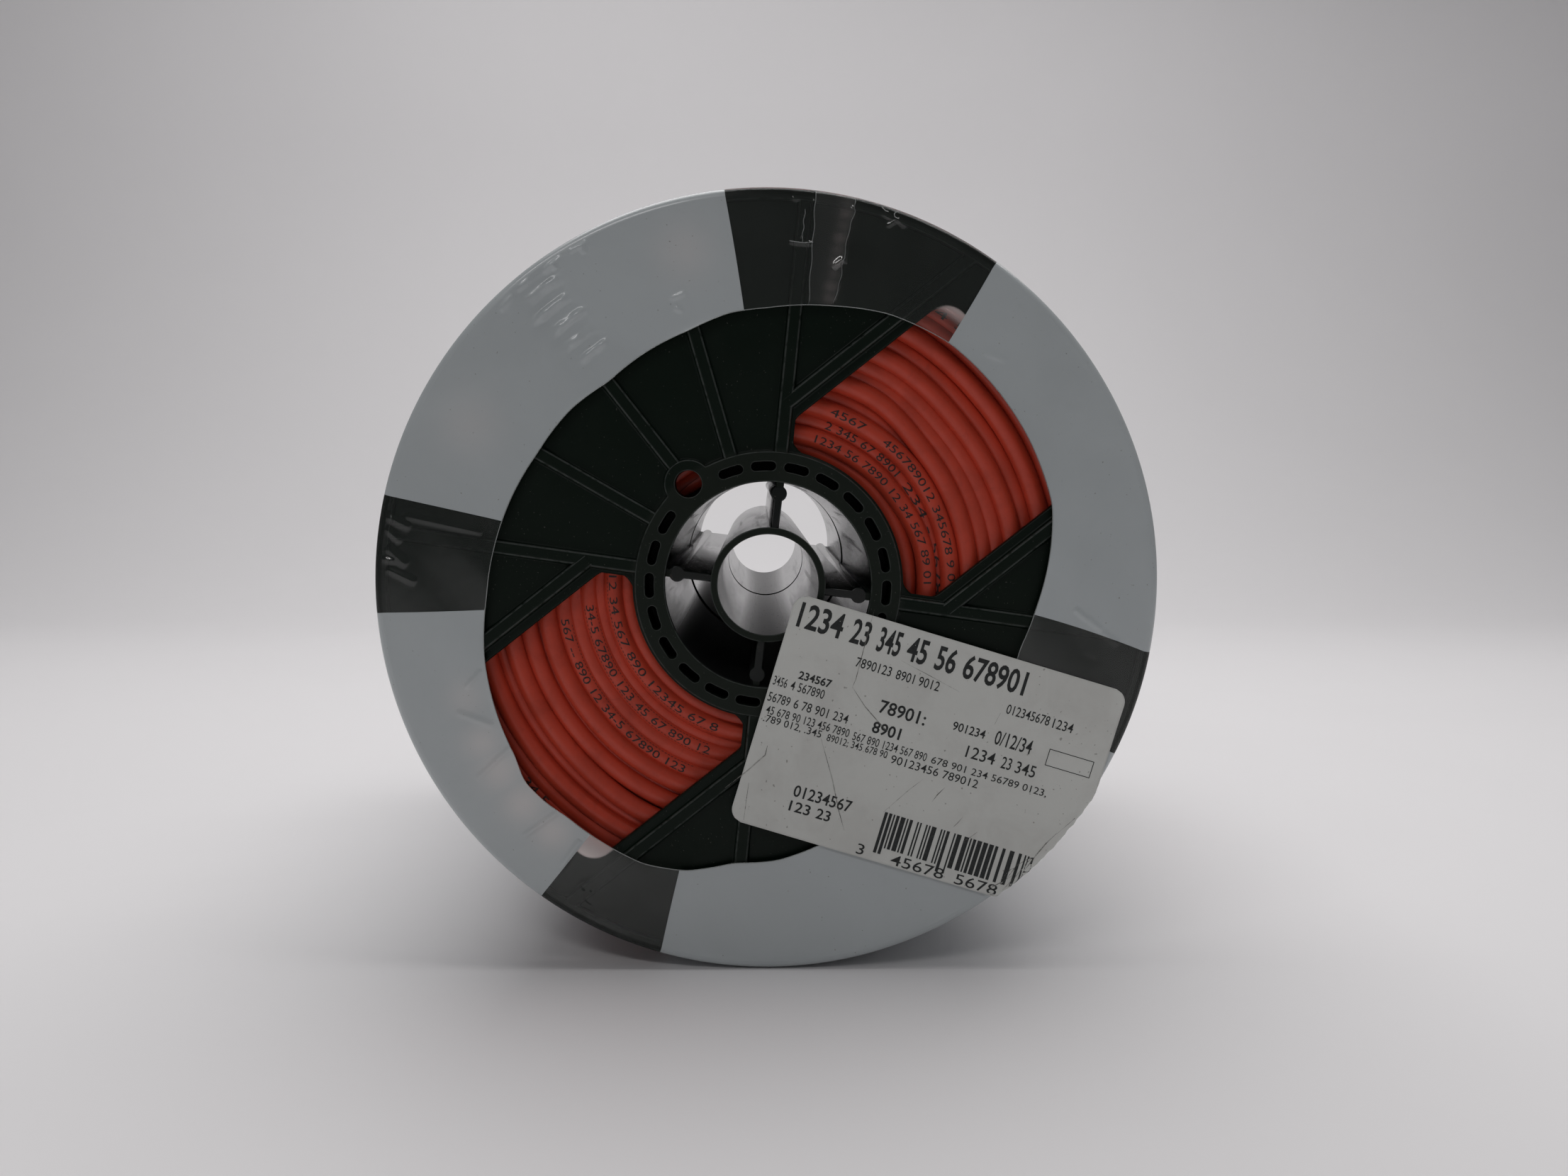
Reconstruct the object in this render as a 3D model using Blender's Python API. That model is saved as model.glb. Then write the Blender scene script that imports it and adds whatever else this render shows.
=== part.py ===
# A full spool of electrical wire, shrink-wrapped and labelled, lying on its rims.
# The spool's axis runs along Y, its labelled face looks toward -Y, and Z is up.
# Every length is in metres.

import bpy
import bmesh
from math import asin, atan2, cos, hypot, pi, radians, sin, sqrt
from mathutils import Matrix, Vector

# Spool as a whole
spool_length = 0.200          # face to face
flange_radius = 0.08255
feature_turn = radians(38.2)  # direction of the two windows, seen from the front
seam_gap = 0.0003             # between the two moulded halves
round_steps = 60              # sides of the large circles
small_steps = 30              # sides of the arbor tube

# Flange
rib_height = 0.0015           # ribs and rims stand this far above the web plate
plate_thickness = 0.0022
rim_width = 0.0024
rim_depth = 0.0050
edge_round = 0.0009
rib_width = 0.0027
rib_chamfer = 0.00045
rib_drop = 0.0001             # rib tops sit a hair under the rim
rib_step = radians(21.9)
ribs_each_side = 5

# Hub ring, barrel and its core-out slots
barrel_radius = 0.0270
barrel_bore = 0.0218
barrel_bore_at_seam = 0.0212
hub_ring_radius = 0.0282
slot_ring_radius = 0.0251
slot_length = 0.0053
slot_width = 0.0019
slot_depth = 0.012
slot_step = radians(16.0)
slots_each_side = 10

# Arbor tube and the webs that hold it
arbor_bore = 0.0107
arbor_bore_at_seam = 0.0102
arbor_wall = 0.0015
arbor_inset = 0.0005
web_thickness = 0.0017
web_inset = 0.0015
web_count = 4
column_radius = 0.0017
column_ring_radius = 0.0194

# Windows and the ridges beside them
window_half_width = 0.0240
window_outer_radius = 0.0700
window_corner = 0.0050
window_hub_margin = 0.0003
ridge_offset = 0.0036         # from the window's straight edge to the ridge's middle

# Hole where the wire starts
start_hole_radius = 0.00285
start_hole_place = 0.0271
start_hole_depth = 0.012
start_boss_radius = 0.0051

# Wire winding
wire_diameter = 0.0042
coil_radius = 0.0695
coil_clearance = 0.0003
coil_steps = 36
crest_share = 0.5             # flat top of each turn, as a share of the wire

# Shrink film
film_thickness = 0.0003
film_clearance = 0.0003
film_corner = 0.0006
film_waist = 0.0040           # drawn in between the flanges
waist_at_quarter = 0.75       # share of that waist half way to a flange
film_lip_share = 0.670        # inner edge of the folded lip, as a share of the flange radius
film_bows = (                 # direction, half width and depth of each bow over a window
    (radians(43.0), radians(75.0), 0.0080),
    (radians(226.0), radians(72.0), 0.0113),
)

# Paper label
label_width = 0.0736
label_height = 0.0504
label_turn = radians(-16.8)
label_middle = (0.0341, -0.0363)
label_corner = 0.0030
label_thickness = 0.0003
label_clearance = 0.0003
label_fold_direction = radians(-45.0)
fold_tolerance = 1e-6

# Sizes that follow from those above
film_stack = film_clearance + film_thickness
film_outer_radius = flange_radius + film_stack
axis_height = film_outer_radius * cos(pi / round_steps)
half_length = spool_length / 2
seam_depth = half_length - seam_gap / 2
plate_inner_depth = rib_height + plate_thickness
coil_bore = barrel_radius + coil_clearance
coil_half_width = half_length - plate_inner_depth - coil_clearance
label_stack = label_clearance + label_thickness


def clear_scene():
    for item in list(bpy.data.objects):
        bpy.data.objects.remove(item, do_unlink=True)


def make_material(name, color, roughness, alpha=1.0):
    material = bpy.data.materials.new(name)
    material.use_nodes = True
    shader = material.node_tree.nodes["Principled BSDF"]
    shader.inputs["Base Color"].default_value = (*color, 1.0)
    shader.inputs["Roughness"].default_value = roughness
    shader.inputs["Metallic"].default_value = 0.0
    shader.inputs["Alpha"].default_value = alpha
    return material


def add_object(name, bm, material=None):
    bmesh.ops.recalc_face_normals(bm, faces=bm.faces)
    mesh = bpy.data.meshes.new(name)
    bm.to_mesh(mesh)
    bm.free()
    item = bpy.data.objects.new(name, mesh)
    bpy.context.scene.collection.objects.link(item)
    if material:
        mesh.materials.append(material)
    return item


def bridge_sections(bm, sections):
    """Join a closed ring of closed sections, each a list of points, into one surface."""
    rings = [[bm.verts.new(point) for point in section] for section in sections]
    for here, there in zip(rings, rings[1:] + rings[:1]):
        for i in range(len(here)):
            j = (i + 1) % len(here)
            bm.faces.new((here[i], there[i], there[j], here[j]))


def turned(name, profile, steps, material=None):
    """A body turned about its own Z from a closed profile of (radius, height)."""
    angles = [2 * pi * (k + 0.5) / steps for k in range(steps)]
    bm = bmesh.new()
    bridge_sections(bm, [[(r * cos(a), r * sin(a), z) for r, z in profile] for a in angles])
    return add_object(name, bm, material)


def prism(name, outline, low, high):
    """An outline of (x, y) drawn out along Z."""
    bm = bmesh.new()
    face = bm.faces.new([bm.verts.new((x, y, low)) for x, y in outline])
    walls = bmesh.ops.extrude_face_region(bm, geom=[face])
    moved = [part for part in walls["geom"] if isinstance(part, bmesh.types.BMVert)]
    bmesh.ops.translate(bm, verts=moved, vec=(0, 0, high - low))
    return add_object(name, bm)


def arc(center, radius, start, end, steps):
    points = []
    for k in range(steps + 1):
        a = start + (end - start) * k / steps
        points.append((center[0] + radius * cos(a), center[1] + radius * sin(a)))
    return points


def combine(target, tool, operation):
    """Boolean the tool into the target and take the tool away."""
    modifier = target.modifiers.new(operation, "BOOLEAN")
    modifier.operation = operation
    modifier.solver = "EXACT"
    modifier.object = tool
    evaluated = target.evaluated_get(bpy.context.evaluated_depsgraph_get())
    result = bpy.data.meshes.new_from_object(evaluated)
    target.modifiers.clear()
    target.data = result
    bpy.data.objects.remove(tool, do_unlink=True)


def flange_and_barrel():
    """Flange plate with its rim and hub ring, and half of the barrel, in one turned profile."""
    rim_inner = flange_radius - rim_width
    e = edge_round
    profile = [
        (barrel_bore, -e / 2),
        (barrel_bore + e / 2, 0),
        (hub_ring_radius - e / 2, 0),
        (hub_ring_radius, -e / 2),
        (hub_ring_radius, -rib_height),
        (rim_inner, -rib_height),
        (rim_inner + e / 4, -e / 4),
        (rim_inner + e, 0),
        (flange_radius - e, 0),
        (flange_radius - e / 4, -e / 4),
        (flange_radius, -e),
        (flange_radius, -rim_depth + e / 2),
        (flange_radius - e / 2, -rim_depth),
        (rim_inner, -rim_depth),
        (rim_inner - e, -plate_inner_depth),
        (barrel_radius, -plate_inner_depth),
        (barrel_radius, -seam_depth),
        (barrel_bore_at_seam, -seam_depth),
    ]
    return turned("flange_and_barrel", profile, round_steps)


def arbor_tube():
    outer = arbor_bore + arbor_wall
    e = edge_round / 3
    profile = [
        (arbor_bore, -arbor_inset - e),
        (arbor_bore + e, -arbor_inset),
        (outer - e, -arbor_inset),
        (outer, -arbor_inset - e),
        (outer, -seam_depth),
        (arbor_bore_at_seam, -seam_depth),
    ]
    return turned("arbor_tube", profile, small_steps)


def web(angle):
    """A flat web between the arbor tube and the barrel, with its round column."""
    inner = arbor_bore + arbor_wall / 2
    outer = (barrel_bore + barrel_radius) / 2
    half = web_thickness / 2
    reach = asin(half / column_radius)
    left = arc((column_ring_radius, 0), column_radius, pi - reach, reach, 5)
    right = arc((column_ring_radius, 0), column_radius, -reach, reach - pi, 5)
    outline = [(inner, half)] + left + [(outer, half), (outer, -half)] + right + [(inner, -half)]
    item = prism("web", outline, -seam_depth, -web_inset)
    item.matrix_world = Matrix.Rotation(angle, 4, "Z")
    return item


def rib(start, end):
    """A raised rib from one (x, y) to another, with chamfered shoulders."""
    half = rib_width / 2
    top = -rib_drop
    foot = -rib_height - plate_thickness / 2
    section = [(-half, foot), (-half, top - rib_chamfer), (-half + rib_chamfer, top),
               (half - rib_chamfer, top), (half, top - rib_chamfer), (half, foot)]
    heading = atan2(end[1] - start[1], end[0] - start[0])
    length = hypot(end[0] - start[0], end[1] - start[1])
    bm = bmesh.new()
    near = [bm.verts.new((0, y, z)) for y, z in section]
    far = [bm.verts.new((length, y, z)) for y, z in section]
    bm.faces.new(near)
    bm.faces.new(far)
    for i in range(len(section)):
        j = (i + 1) % len(section)
        bm.faces.new((near[i], near[j], far[j], far[i]))
    item = add_object("rib", bm)
    item.matrix_world = Matrix.Translation((*start, 0)) @ Matrix.Rotation(heading, 4, "Z")
    return item


def radial_rib(angle):
    inner = hub_ring_radius - rib_width / 2
    outer = flange_radius - rim_width / 2
    return rib((inner * cos(angle), inner * sin(angle)), (outer * cos(angle), outer * sin(angle)))


def window_ridge(across, along):
    """A straight ridge beside a window, from the outermost radial rib to the rim."""
    y = window_half_width + ridge_offset
    steepest = pi / 2 - rib_step * (ribs_each_side // 2)
    near = y / sin(steepest) * cos(steepest)
    far = sqrt((flange_radius - rim_width / 2) ** 2 - y ** 2)
    return rib((along * near, across * y), (along * far, across * y))


def window_outline():
    """Half a ring between two straight edges, with its four corners rounded."""
    inner = hub_ring_radius + window_hub_margin
    outer = window_outer_radius
    c = window_corner
    y = window_half_width - c
    near = sqrt((inner + c) ** 2 - y ** 2)
    far = sqrt((outer - c) ** 2 - y ** 2)
    near_angle = atan2(y, near)
    far_angle = atan2(y, far)
    points = arc((near, y), c, pi / 2, pi + near_angle, 5)
    points += arc((0, 0), inner, near_angle, -near_angle, 8)[1:-1]
    points += arc((near, -y), c, pi - near_angle, 3 * pi / 2, 5)
    points += arc((far, -y), c, -pi / 2, -far_angle, 4)
    points += arc((0, 0), outer, -far_angle, far_angle, 8)[1:-1]
    points += arc((far, y), c, far_angle, pi / 2, 4)
    return points


def window_cutter(direction):
    item = prism("window", window_outline(), -2 * rim_depth, rim_depth)
    item.matrix_world = Matrix.Rotation(direction, 4, "Z")
    return item


def slot_cutter(angle):
    """A round-ended slot that follows the hub ring."""
    end_radius = slot_width / 2
    reach = (slot_length / 2 - end_radius) / slot_ring_radius
    outline = arc((0, 0), slot_ring_radius + end_radius, -reach, reach, 1)
    outline += arc((slot_ring_radius * cos(reach), slot_ring_radius * sin(reach)),
                   end_radius, reach, reach + pi, 3)[1:]
    outline += arc((0, 0), slot_ring_radius - end_radius, reach, -reach, 1)[1:]
    outline += arc((slot_ring_radius * cos(reach), -slot_ring_radius * sin(reach)),
                   end_radius, -reach + pi, -reach + 2 * pi, 3)[1:-1]
    item = prism("slot", outline, -slot_depth, rib_height)
    item.matrix_world = Matrix.Rotation(angle, 4, "Z")
    return item


def disc(name, radius, place, low, high, steps=16):
    item = prism(name, arc((0, 0), radius, 0, 2 * pi, steps)[:-1], low, high)
    item.matrix_world = Matrix.Translation((0, place, 0))
    return item


def spool_half(name, material):
    """One moulding: outer face at height 0 looking up its own Z, windows along its own X."""
    half = flange_and_barrel()
    half.name = name
    for direction in (0, pi):
        combine(half, window_cutter(direction), "DIFFERENCE")
    for side in (pi / 2, -pi / 2):
        for k in range(ribs_each_side):
            combine(half, radial_rib(side + rib_step * (k - ribs_each_side // 2)), "UNION")
    for across in (1, -1):
        for along in (1, -1):
            combine(half, window_ridge(across, along), "UNION")
    combine(half, disc("boss", start_boss_radius, start_hole_place,
                       -rib_height - plate_thickness / 2, -rib_drop / 2), "UNION")
    combine(half, arbor_tube(), "UNION")
    for k in range(web_count):
        combine(half, web(2 * pi * (k + 0.5) / web_count), "UNION")
    combine(half, disc("start_hole", start_hole_radius, start_hole_place,
                       -start_hole_depth, rim_depth), "DIFFERENCE")
    for k in range(-slots_each_side, slots_each_side + 1):
        combine(half, slot_cutter(-pi / 2 + slot_step * k), "DIFFERENCE")
    half.data.materials.clear()
    half.data.materials.append(material)
    return half


def turn_rings():
    """Radii and depths of the winding's end face: layers stand proud and set back by turns."""
    pitch = wire_diameter * sqrt(3) / 2
    shoulder = wire_diameter * crest_share / 2
    count = int((coil_radius - coil_bore) / pitch)
    first = coil_bore + (coil_radius - coil_bore - pitch * (count - 1)) / 2
    rings = []
    for k in range(count):
        middle = first + pitch * k
        drop = wire_diameter / 2 if k % 2 else 0.0
        rings.append((middle - shoulder, drop))
        rings.append((middle + shoulder, drop))
    return rings


def wire_coil(material):
    rings = turn_rings()
    top = [(r, coil_half_width - drop) for r, drop in rings]
    low = [(r, drop - coil_half_width) for r, drop in reversed(rings)]
    edge = wire_diameter / 2
    profile = [(coil_bore, coil_half_width - edge)] + top
    profile += [(coil_radius, coil_half_width - edge), (coil_radius, edge - coil_half_width)]
    profile += low + [(coil_bore, edge - coil_half_width)]
    return turned("wire_coil", profile, coil_steps, material)


def film_edge(angle):
    """Radius of the lip's inner edge: it bows outward over each window."""
    radius = flange_radius * film_lip_share
    for direction, half_width, depth in film_bows:
        away = abs((angle - direction + pi) % (2 * pi) - pi)
        if away < half_width:
            radius += depth * cos(pi / 2 * away / half_width) ** 2
    return radius


def film_side(radius, reach, edge):
    """One skin of the film from lip to lip, as (radius, distance along the spool's axis)."""
    rim_run = half_length - rim_depth
    skin = [(edge, -reach), (radius - film_corner, -reach), (radius, -reach + film_corner)]
    skin += [(radius, -rim_run), (radius - film_waist * waist_at_quarter, -rim_run / 2)]
    skin += [(radius - film_waist, 0)]
    return skin + [(r, -y) for r, y in reversed(skin[:-1])]


def shrink_film(material):
    sections = []
    for k in range(round_steps):
        angle = 2 * pi * (k + 0.5) / round_steps - pi / 2
        edge = film_edge(angle)
        outer = film_side(film_outer_radius, half_length + film_stack, edge)
        inner = film_side(film_outer_radius - film_thickness, half_length + film_clearance, edge)
        loop = outer + inner[::-1]
        sections.append([(r * cos(angle), y, r * sin(angle)) for r, y in loop])
    bm = bmesh.new()
    bridge_sections(bm, sections)
    return add_object("shrink_film", bm, material)


def label_outline():
    half_w = label_width / 2 - label_corner
    half_h = label_height / 2 - label_corner
    corners = ((half_w, half_h, 0), (-half_w, half_h, 1), (-half_w, -half_h, 2), (half_w, -half_h, 3))
    points = []
    for x, y, quarter in corners:
        points += arc((x, y), label_corner, quarter * pi / 2, (quarter + 1) * pi / 2, 4)
    turn = Matrix.Rotation(label_turn, 2)
    return [turn @ Vector(point) + Vector(label_middle) for point in points]


def paper_label(material):
    """A sheet stuck across the face, its outer corner folded back along the rim."""
    face_y = -half_length - film_stack - label_clearance
    outward = Vector((cos(label_fold_direction), 0, sin(label_fold_direction)))
    crease = outward * (film_outer_radius + label_clearance)
    bm = bmesh.new()
    sheet = bm.faces.new([bm.verts.new((x, face_y, z)) for x, z in label_outline()])
    grown = bmesh.ops.extrude_face_region(bm, geom=[sheet])
    moved = [part for part in grown["geom"] if isinstance(part, bmesh.types.BMVert)]
    bmesh.ops.translate(bm, verts=moved, vec=(0, -label_thickness, 0))
    everything = bm.verts[:] + bm.edges[:] + bm.faces[:]
    bmesh.ops.bisect_plane(bm, geom=everything, plane_co=crease, plane_no=outward,
                           dist=fold_tolerance / 10)
    for vert in bm.verts:
        past = (vert.co - crease).dot(outward)
        lift = face_y - vert.co.y
        if past > fold_tolerance:
            vert.co += outward * (lift - past)
            vert.co.y = face_y + past
        elif past > -fold_tolerance:
            vert.co += outward * lift
    return add_object("paper_label", bm, material)


def smooth(item, limit=radians(32)):
    item.data.shade_smooth()
    item.data.set_sharp_from_angle(angle=limit)


def main():
    clear_scene()
    black_plastic = make_material("black_plastic", (0.010, 0.016, 0.013), 0.42)
    wire_jacket = make_material("wire_jacket", (0.330, 0.058, 0.034), 0.40)
    clear_film = make_material("clear_film", (0.430, 0.470, 0.490), 0.25, alpha=0.8)
    white_paper = make_material("white_paper", (0.700, 0.705, 0.690), 0.60)

    axle = bpy.data.objects.new("spool_axis", None)
    axle.location = (0, label_stack / 2, axis_height)
    bpy.context.scene.collection.objects.link(axle)

    front = spool_half("spool_front_half", black_plastic)
    back = bpy.data.objects.new("spool_back_half", front.data)
    bpy.context.scene.collection.objects.link(back)
    coil = wire_coil(wire_jacket)
    film = shrink_film(clear_film)
    label = paper_label(white_paper)

    upright = Matrix.Rotation(pi / 2, 4, "X") @ Matrix.Rotation(feature_turn, 4, "Z")
    turned_over = upright @ Matrix.Rotation(pi, 4, "X")
    front.matrix_world = Matrix.Translation((0, -half_length, 0)) @ upright
    back.matrix_world = Matrix.Translation((0, half_length, 0)) @ turned_over
    coil.matrix_world = Matrix.Rotation(pi / 2, 4, "X")
    for item in (front, back, coil, film, label):
        item.parent = axle
    for item in (front, coil, film):
        smooth(item)


main()
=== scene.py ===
import random
from math import acos, atan2, ceil, cos, hypot, pi, radians, sin, sqrt, tan

import bmesh
import bpy
import numpy as np
from mathutils import Matrix, Vector
from mathutils.geometry import tessellate_polygon


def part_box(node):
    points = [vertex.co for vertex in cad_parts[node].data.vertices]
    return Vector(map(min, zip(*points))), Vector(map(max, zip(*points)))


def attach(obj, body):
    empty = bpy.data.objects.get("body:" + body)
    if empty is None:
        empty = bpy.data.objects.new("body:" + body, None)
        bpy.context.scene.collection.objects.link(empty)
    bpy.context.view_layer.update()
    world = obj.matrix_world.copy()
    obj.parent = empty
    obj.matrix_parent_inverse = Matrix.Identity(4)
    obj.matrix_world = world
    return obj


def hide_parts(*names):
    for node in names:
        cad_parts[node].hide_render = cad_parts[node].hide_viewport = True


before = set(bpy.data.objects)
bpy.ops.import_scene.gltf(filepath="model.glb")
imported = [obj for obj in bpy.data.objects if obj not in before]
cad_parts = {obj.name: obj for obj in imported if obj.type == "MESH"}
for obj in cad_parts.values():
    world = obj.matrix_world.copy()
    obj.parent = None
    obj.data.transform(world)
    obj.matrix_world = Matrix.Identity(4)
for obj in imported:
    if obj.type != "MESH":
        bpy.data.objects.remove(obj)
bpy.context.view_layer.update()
print("frame loaded")

mm = 0.001

# Places that the frame gives
frontLow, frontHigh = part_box("spool_front_half")
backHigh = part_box("spool_back_half")[1]
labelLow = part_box("paper_label")[0]
axisHeight = (frontLow.z + frontHigh.z) / 2
frontFace = frontLow.y       # outer face of the front flange
backFace = backHigh.y
middleY = (frontFace + backFace) / 2
halfLength = (backFace - frontFace) / 2
seamDepth = frontHigh.y - frontFace
labelFront = labelLow.y
rimRadius = 82.55 * mm       # outside of the flanges

faceTurn = radians(38.2)     # direction of the upper right window
uprightFace = Matrix.Rotation(pi / 2, 4, "X") @ Matrix.Rotation(faceTurn, 4, "Z")
frontPlace = Matrix.Translation((0, frontFace, axisHeight)) @ uprightFace
backPlace = Matrix.Translation((0, backFace, axisHeight)) @ uprightFace @ Matrix.Rotation(pi, 4, "X")


# Meshes

def emptyShape():
    return {"points": [], "faces": [], "slots": []}


def addFace(shape, ids, slot=0):
    shape["faces"].append(tuple(ids))
    shape["slots"].append(slot)


def addGrid(shape, rows, closeRows=False, closeColumns=False, slot=0):  # Quads between rows of points
    start = len(shape["points"])
    count, width = len(rows), len(rows[0])
    for row in rows:
        shape["points"].extend(tuple(point) for point in row)
    for i in range(count if closeRows else count - 1):
        here = start + i * width
        there = start + (i + 1) % count * width
        for j in range(width if closeColumns else width - 1):
            k = (j + 1) % width
            addFace(shape, (here + j, there + j, there + k, here + k), slot)


def addRings(shape, profile, steps, closed=True):
    rows = []
    for k in range(steps):
        a = 2 * pi * k / steps
        rows.append([(r * cos(a), r * sin(a), z) for r, z in profile])
    addGrid(shape, rows, closeRows=True, closeColumns=closed)


def finishShape(name, shape, materials, place=None, weld=None, sharp=radians(40)):
    mesh = bpy.data.meshes.new(name)
    mesh.from_pydata(shape["points"], [], shape["faces"])
    for material in materials:
        mesh.materials.append(material)
    mesh.polygons.foreach_set("material_index", shape["slots"])
    bm = bmesh.new()
    bm.from_mesh(mesh)
    if weld:
        bmesh.ops.remove_doubles(bm, verts=bm.verts, dist=weld)
    bmesh.ops.recalc_face_normals(bm, faces=bm.faces)
    bm.to_mesh(mesh)
    bm.free()
    if place:
        mesh.transform(place)
    mesh.shade_smooth()
    if sharp:
        mesh.set_sharp_from_angle(angle=sharp)
    item = bpy.data.objects.new(name, mesh)
    bpy.context.scene.collection.objects.link(item)
    return item


# Corners (x, y, radius) turned into a path with arcs, and a point beside each arc to hold its flat
def roundedPath(corners, closed=True, bend=radians(20), margin=0.08 * mm):
    path = []
    count = len(corners)
    for i, (x, y, radius) in enumerate(corners):
        if radius == 0 or (not closed and i in (0, count - 1)):
            path.append((x, y))
            continue
        here = Vector((x, y))
        towards = [(Vector(corners[j][:2]) - here).normalized() for j in (i - 1, (i + 1) % count)]
        half = towards[0].angle(towards[1]) / 2
        middle = here + (towards[0] + towards[1]).normalized() * radius / sin(half)
        reach = radius / tan(half)
        spokes = [here + d * reach - middle for d in towards]
        sweep = spokes[0].angle_signed(spokes[1])
        steps = max(2, ceil(abs(sweep) / bend))
        path.append(tuple(here + towards[0] * (reach + margin)))
        for k in range(steps + 1):
            a = atan2(spokes[0].y, spokes[0].x) - sweep * k / steps
            path.append((middle.x + radius * cos(a), middle.y + radius * sin(a)))
        path.append(tuple(here + towards[1] * (reach + margin)))
    return path


def circle(radius, steps, center=(0, 0), start=0.0, end=2 * pi, last=False):
    return [(center[0] + radius * cos(start + (end - start) * k / steps),
             center[1] + radius * sin(start + (end - start) * k / steps))
            for k in range(steps + 1 if last else steps)]


# Skirt of (outset, height) that rounds a flat's edge over into a wall
def roundOver(edge, top, steps=3, hold=0.08 * mm):
    skirt = [(-edge - hold, top)]
    for k in range(steps + 1):
        a = pi / 2 * k / steps
        skirt.append((edge * sin(a) - edge, top - edge + edge * cos(a)))
    return skirt


# A flat with holes: each loop is (outline, skirt), outer outline anticlockwise, holes clockwise
def addFlat(shape, loops):
    flat, flatIds, ends = [], [], []
    for outline, skirt in loops:
        count = len(outline)
        normals = []
        for i in range(count):
            along = Vector(outline[(i + 1) % count]) - Vector(outline[i - 1])
            normals.append(Vector((along.y, -along.x)).normalized())
        start = len(shape["points"])
        rows = [[(x + n.x * out, y + n.y * out, z) for (x, y), n in zip(outline, normals)]
                for out, z in skirt]
        addGrid(shape, rows, closeColumns=True)
        flat.append([Vector(point) for point in rows[0]])
        flatIds += range(start, start + count)
        ends.append(list(range(start + (len(rows) - 1) * count, start + len(rows) * count)))
    for triangle in tessellate_polygon(flat):
        addFace(shape, [flatIds[i] for i in triangle])
    return ends


# A tube through centers; outs and sides are the two directions across it at each center
def addTube(shape, centers, outs, sides, radius, segments, closed=False):
    rows = []
    for center, out, side in zip(centers, outs, sides):
        rows.append([tuple(center + radius * (cos(2 * pi * k / segments) * out
                                              + sin(2 * pi * k / segments) * side))
                     for k in range(segments)])
    addGrid(shape, rows, closeRows=closed, closeColumns=True)


def periodic(keys, angles):  # A smooth value round the spool from keys (degrees, value)
    at = np.array([k[0] for k in keys], float)
    values = np.array([k[1] for k in keys], float)
    blur = radians(0.8)
    total = 0
    for shift in (-1.5, -0.5, 0.5, 1.5):
        total = total + np.interp(np.degrees(angles + shift * blur) % 360, at, values, period=360)
    return total / 4


# Shader groups that several materials share

def makeGroup(name, inputs, outputs):
    group = bpy.data.node_groups.new(name, "ShaderNodeTree")
    for socket, value in inputs:
        made = group.interface.new_socket(name=socket, in_out="INPUT", socket_type="NodeSocketFloat")
        made.default_value = value
    for socket in outputs:
        group.interface.new_socket(name=socket, in_out="OUTPUT", socket_type="NodeSocketFloat")
    return group, group.nodes.new("NodeGroupInput"), group.nodes.new("NodeGroupOutput")


def feed(tree, value, socket):  # Sets a number or a colour on the socket and links anything else to it
    if isinstance(value, tuple):
        socket.default_value = (*value, 1.0)
    elif isinstance(value, (int, float)):
        socket.default_value = value
    else:
        tree.links.new(value, socket)


def mathNode(tree, operation, first, second=None, third=None, clamp=False):
    node = tree.nodes.new("ShaderNodeMath")
    node.operation = operation
    node.use_clamp = clamp
    for socket, value in zip(node.inputs, (first, second, third)):
        if value is not None:
            feed(tree, value, socket)
    return node.outputs[0]


def noiseNode(tree, scale, detail=3.0, roughness=0.55, stretch=None, distortion=0.0):
    where = tree.nodes.new("ShaderNodeTexCoord").outputs["Object"]
    if stretch:
        mapping = tree.nodes.new("ShaderNodeMapping")
        mapping.inputs["Scale"].default_value = stretch
        tree.links.new(where, mapping.inputs["Vector"])
        where = mapping.outputs["Vector"]
    node = tree.nodes.new("ShaderNodeTexNoise")
    tree.links.new(where, node.inputs["Vector"])
    feed(tree, scale, node.inputs["Scale"])
    node.inputs["Detail"].default_value = detail
    node.inputs["Roughness"].default_value = roughness
    node.inputs["Distortion"].default_value = distortion
    return node.outputs["Fac"]


def stepNode(tree, value, low, high):
    node = tree.nodes.new("ShaderNodeMapRange")
    node.interpolation_type = "SMOOTHSTEP"
    for socket, given in (("Value", value), ("From Min", low), ("From Max", high)):
        feed(tree, given, node.inputs[socket])
    return node.outputs["Result"]


def splitNode(tree, vector):
    node = tree.nodes.new("ShaderNodeSeparateXYZ")
    tree.links.new(vector, node.inputs[0])
    return node.outputs


# Rubbed edges and painted highlight: rounded shoulders that lie close under either face, where a noise lets
# them through, take a lighter colour that is partly wear and partly a painted highlight
def edgeWearAndHighlightGroup():
    group, given, out = makeGroup("Rubbed Edges And Painted Highlight", [("Amount", 1.0), ("Grain", 900.0)], ["Mask"])
    where = group.nodes.new("ShaderNodeTexCoord").outputs
    tilt = mathNode(group, "ABSOLUTE", splitNode(group, where["Normal"])["Y"])
    flat = mathNode(group, "SUBTRACT", 1.0, stepNode(group, tilt, 0.90, 0.985))
    edge = mathNode(group, "MULTIPLY", stepNode(group, tilt, 0.15, 0.45), flat)
    along = mathNode(group, "SUBTRACT", splitNode(group, where["Object"])["Y"], middleY)
    off = mathNode(group, "ABSOLUTE", along)
    shallow = stepNode(group, off, halfLength - 0.9 * mm, halfLength - 0.6 * mm)
    patchy = stepNode(group, noiseNode(group, given.outputs["Grain"], 4.0), 0.22, 0.56)
    mask = mathNode(group, "MULTIPLY", mathNode(group, "MULTIPLY", edge, shallow), patchy)
    mask = mathNode(group, "MULTIPLY", mask, given.outputs["Amount"], clamp=True)
    group.links.new(mask, out.inputs["Mask"])
    return group


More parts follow.
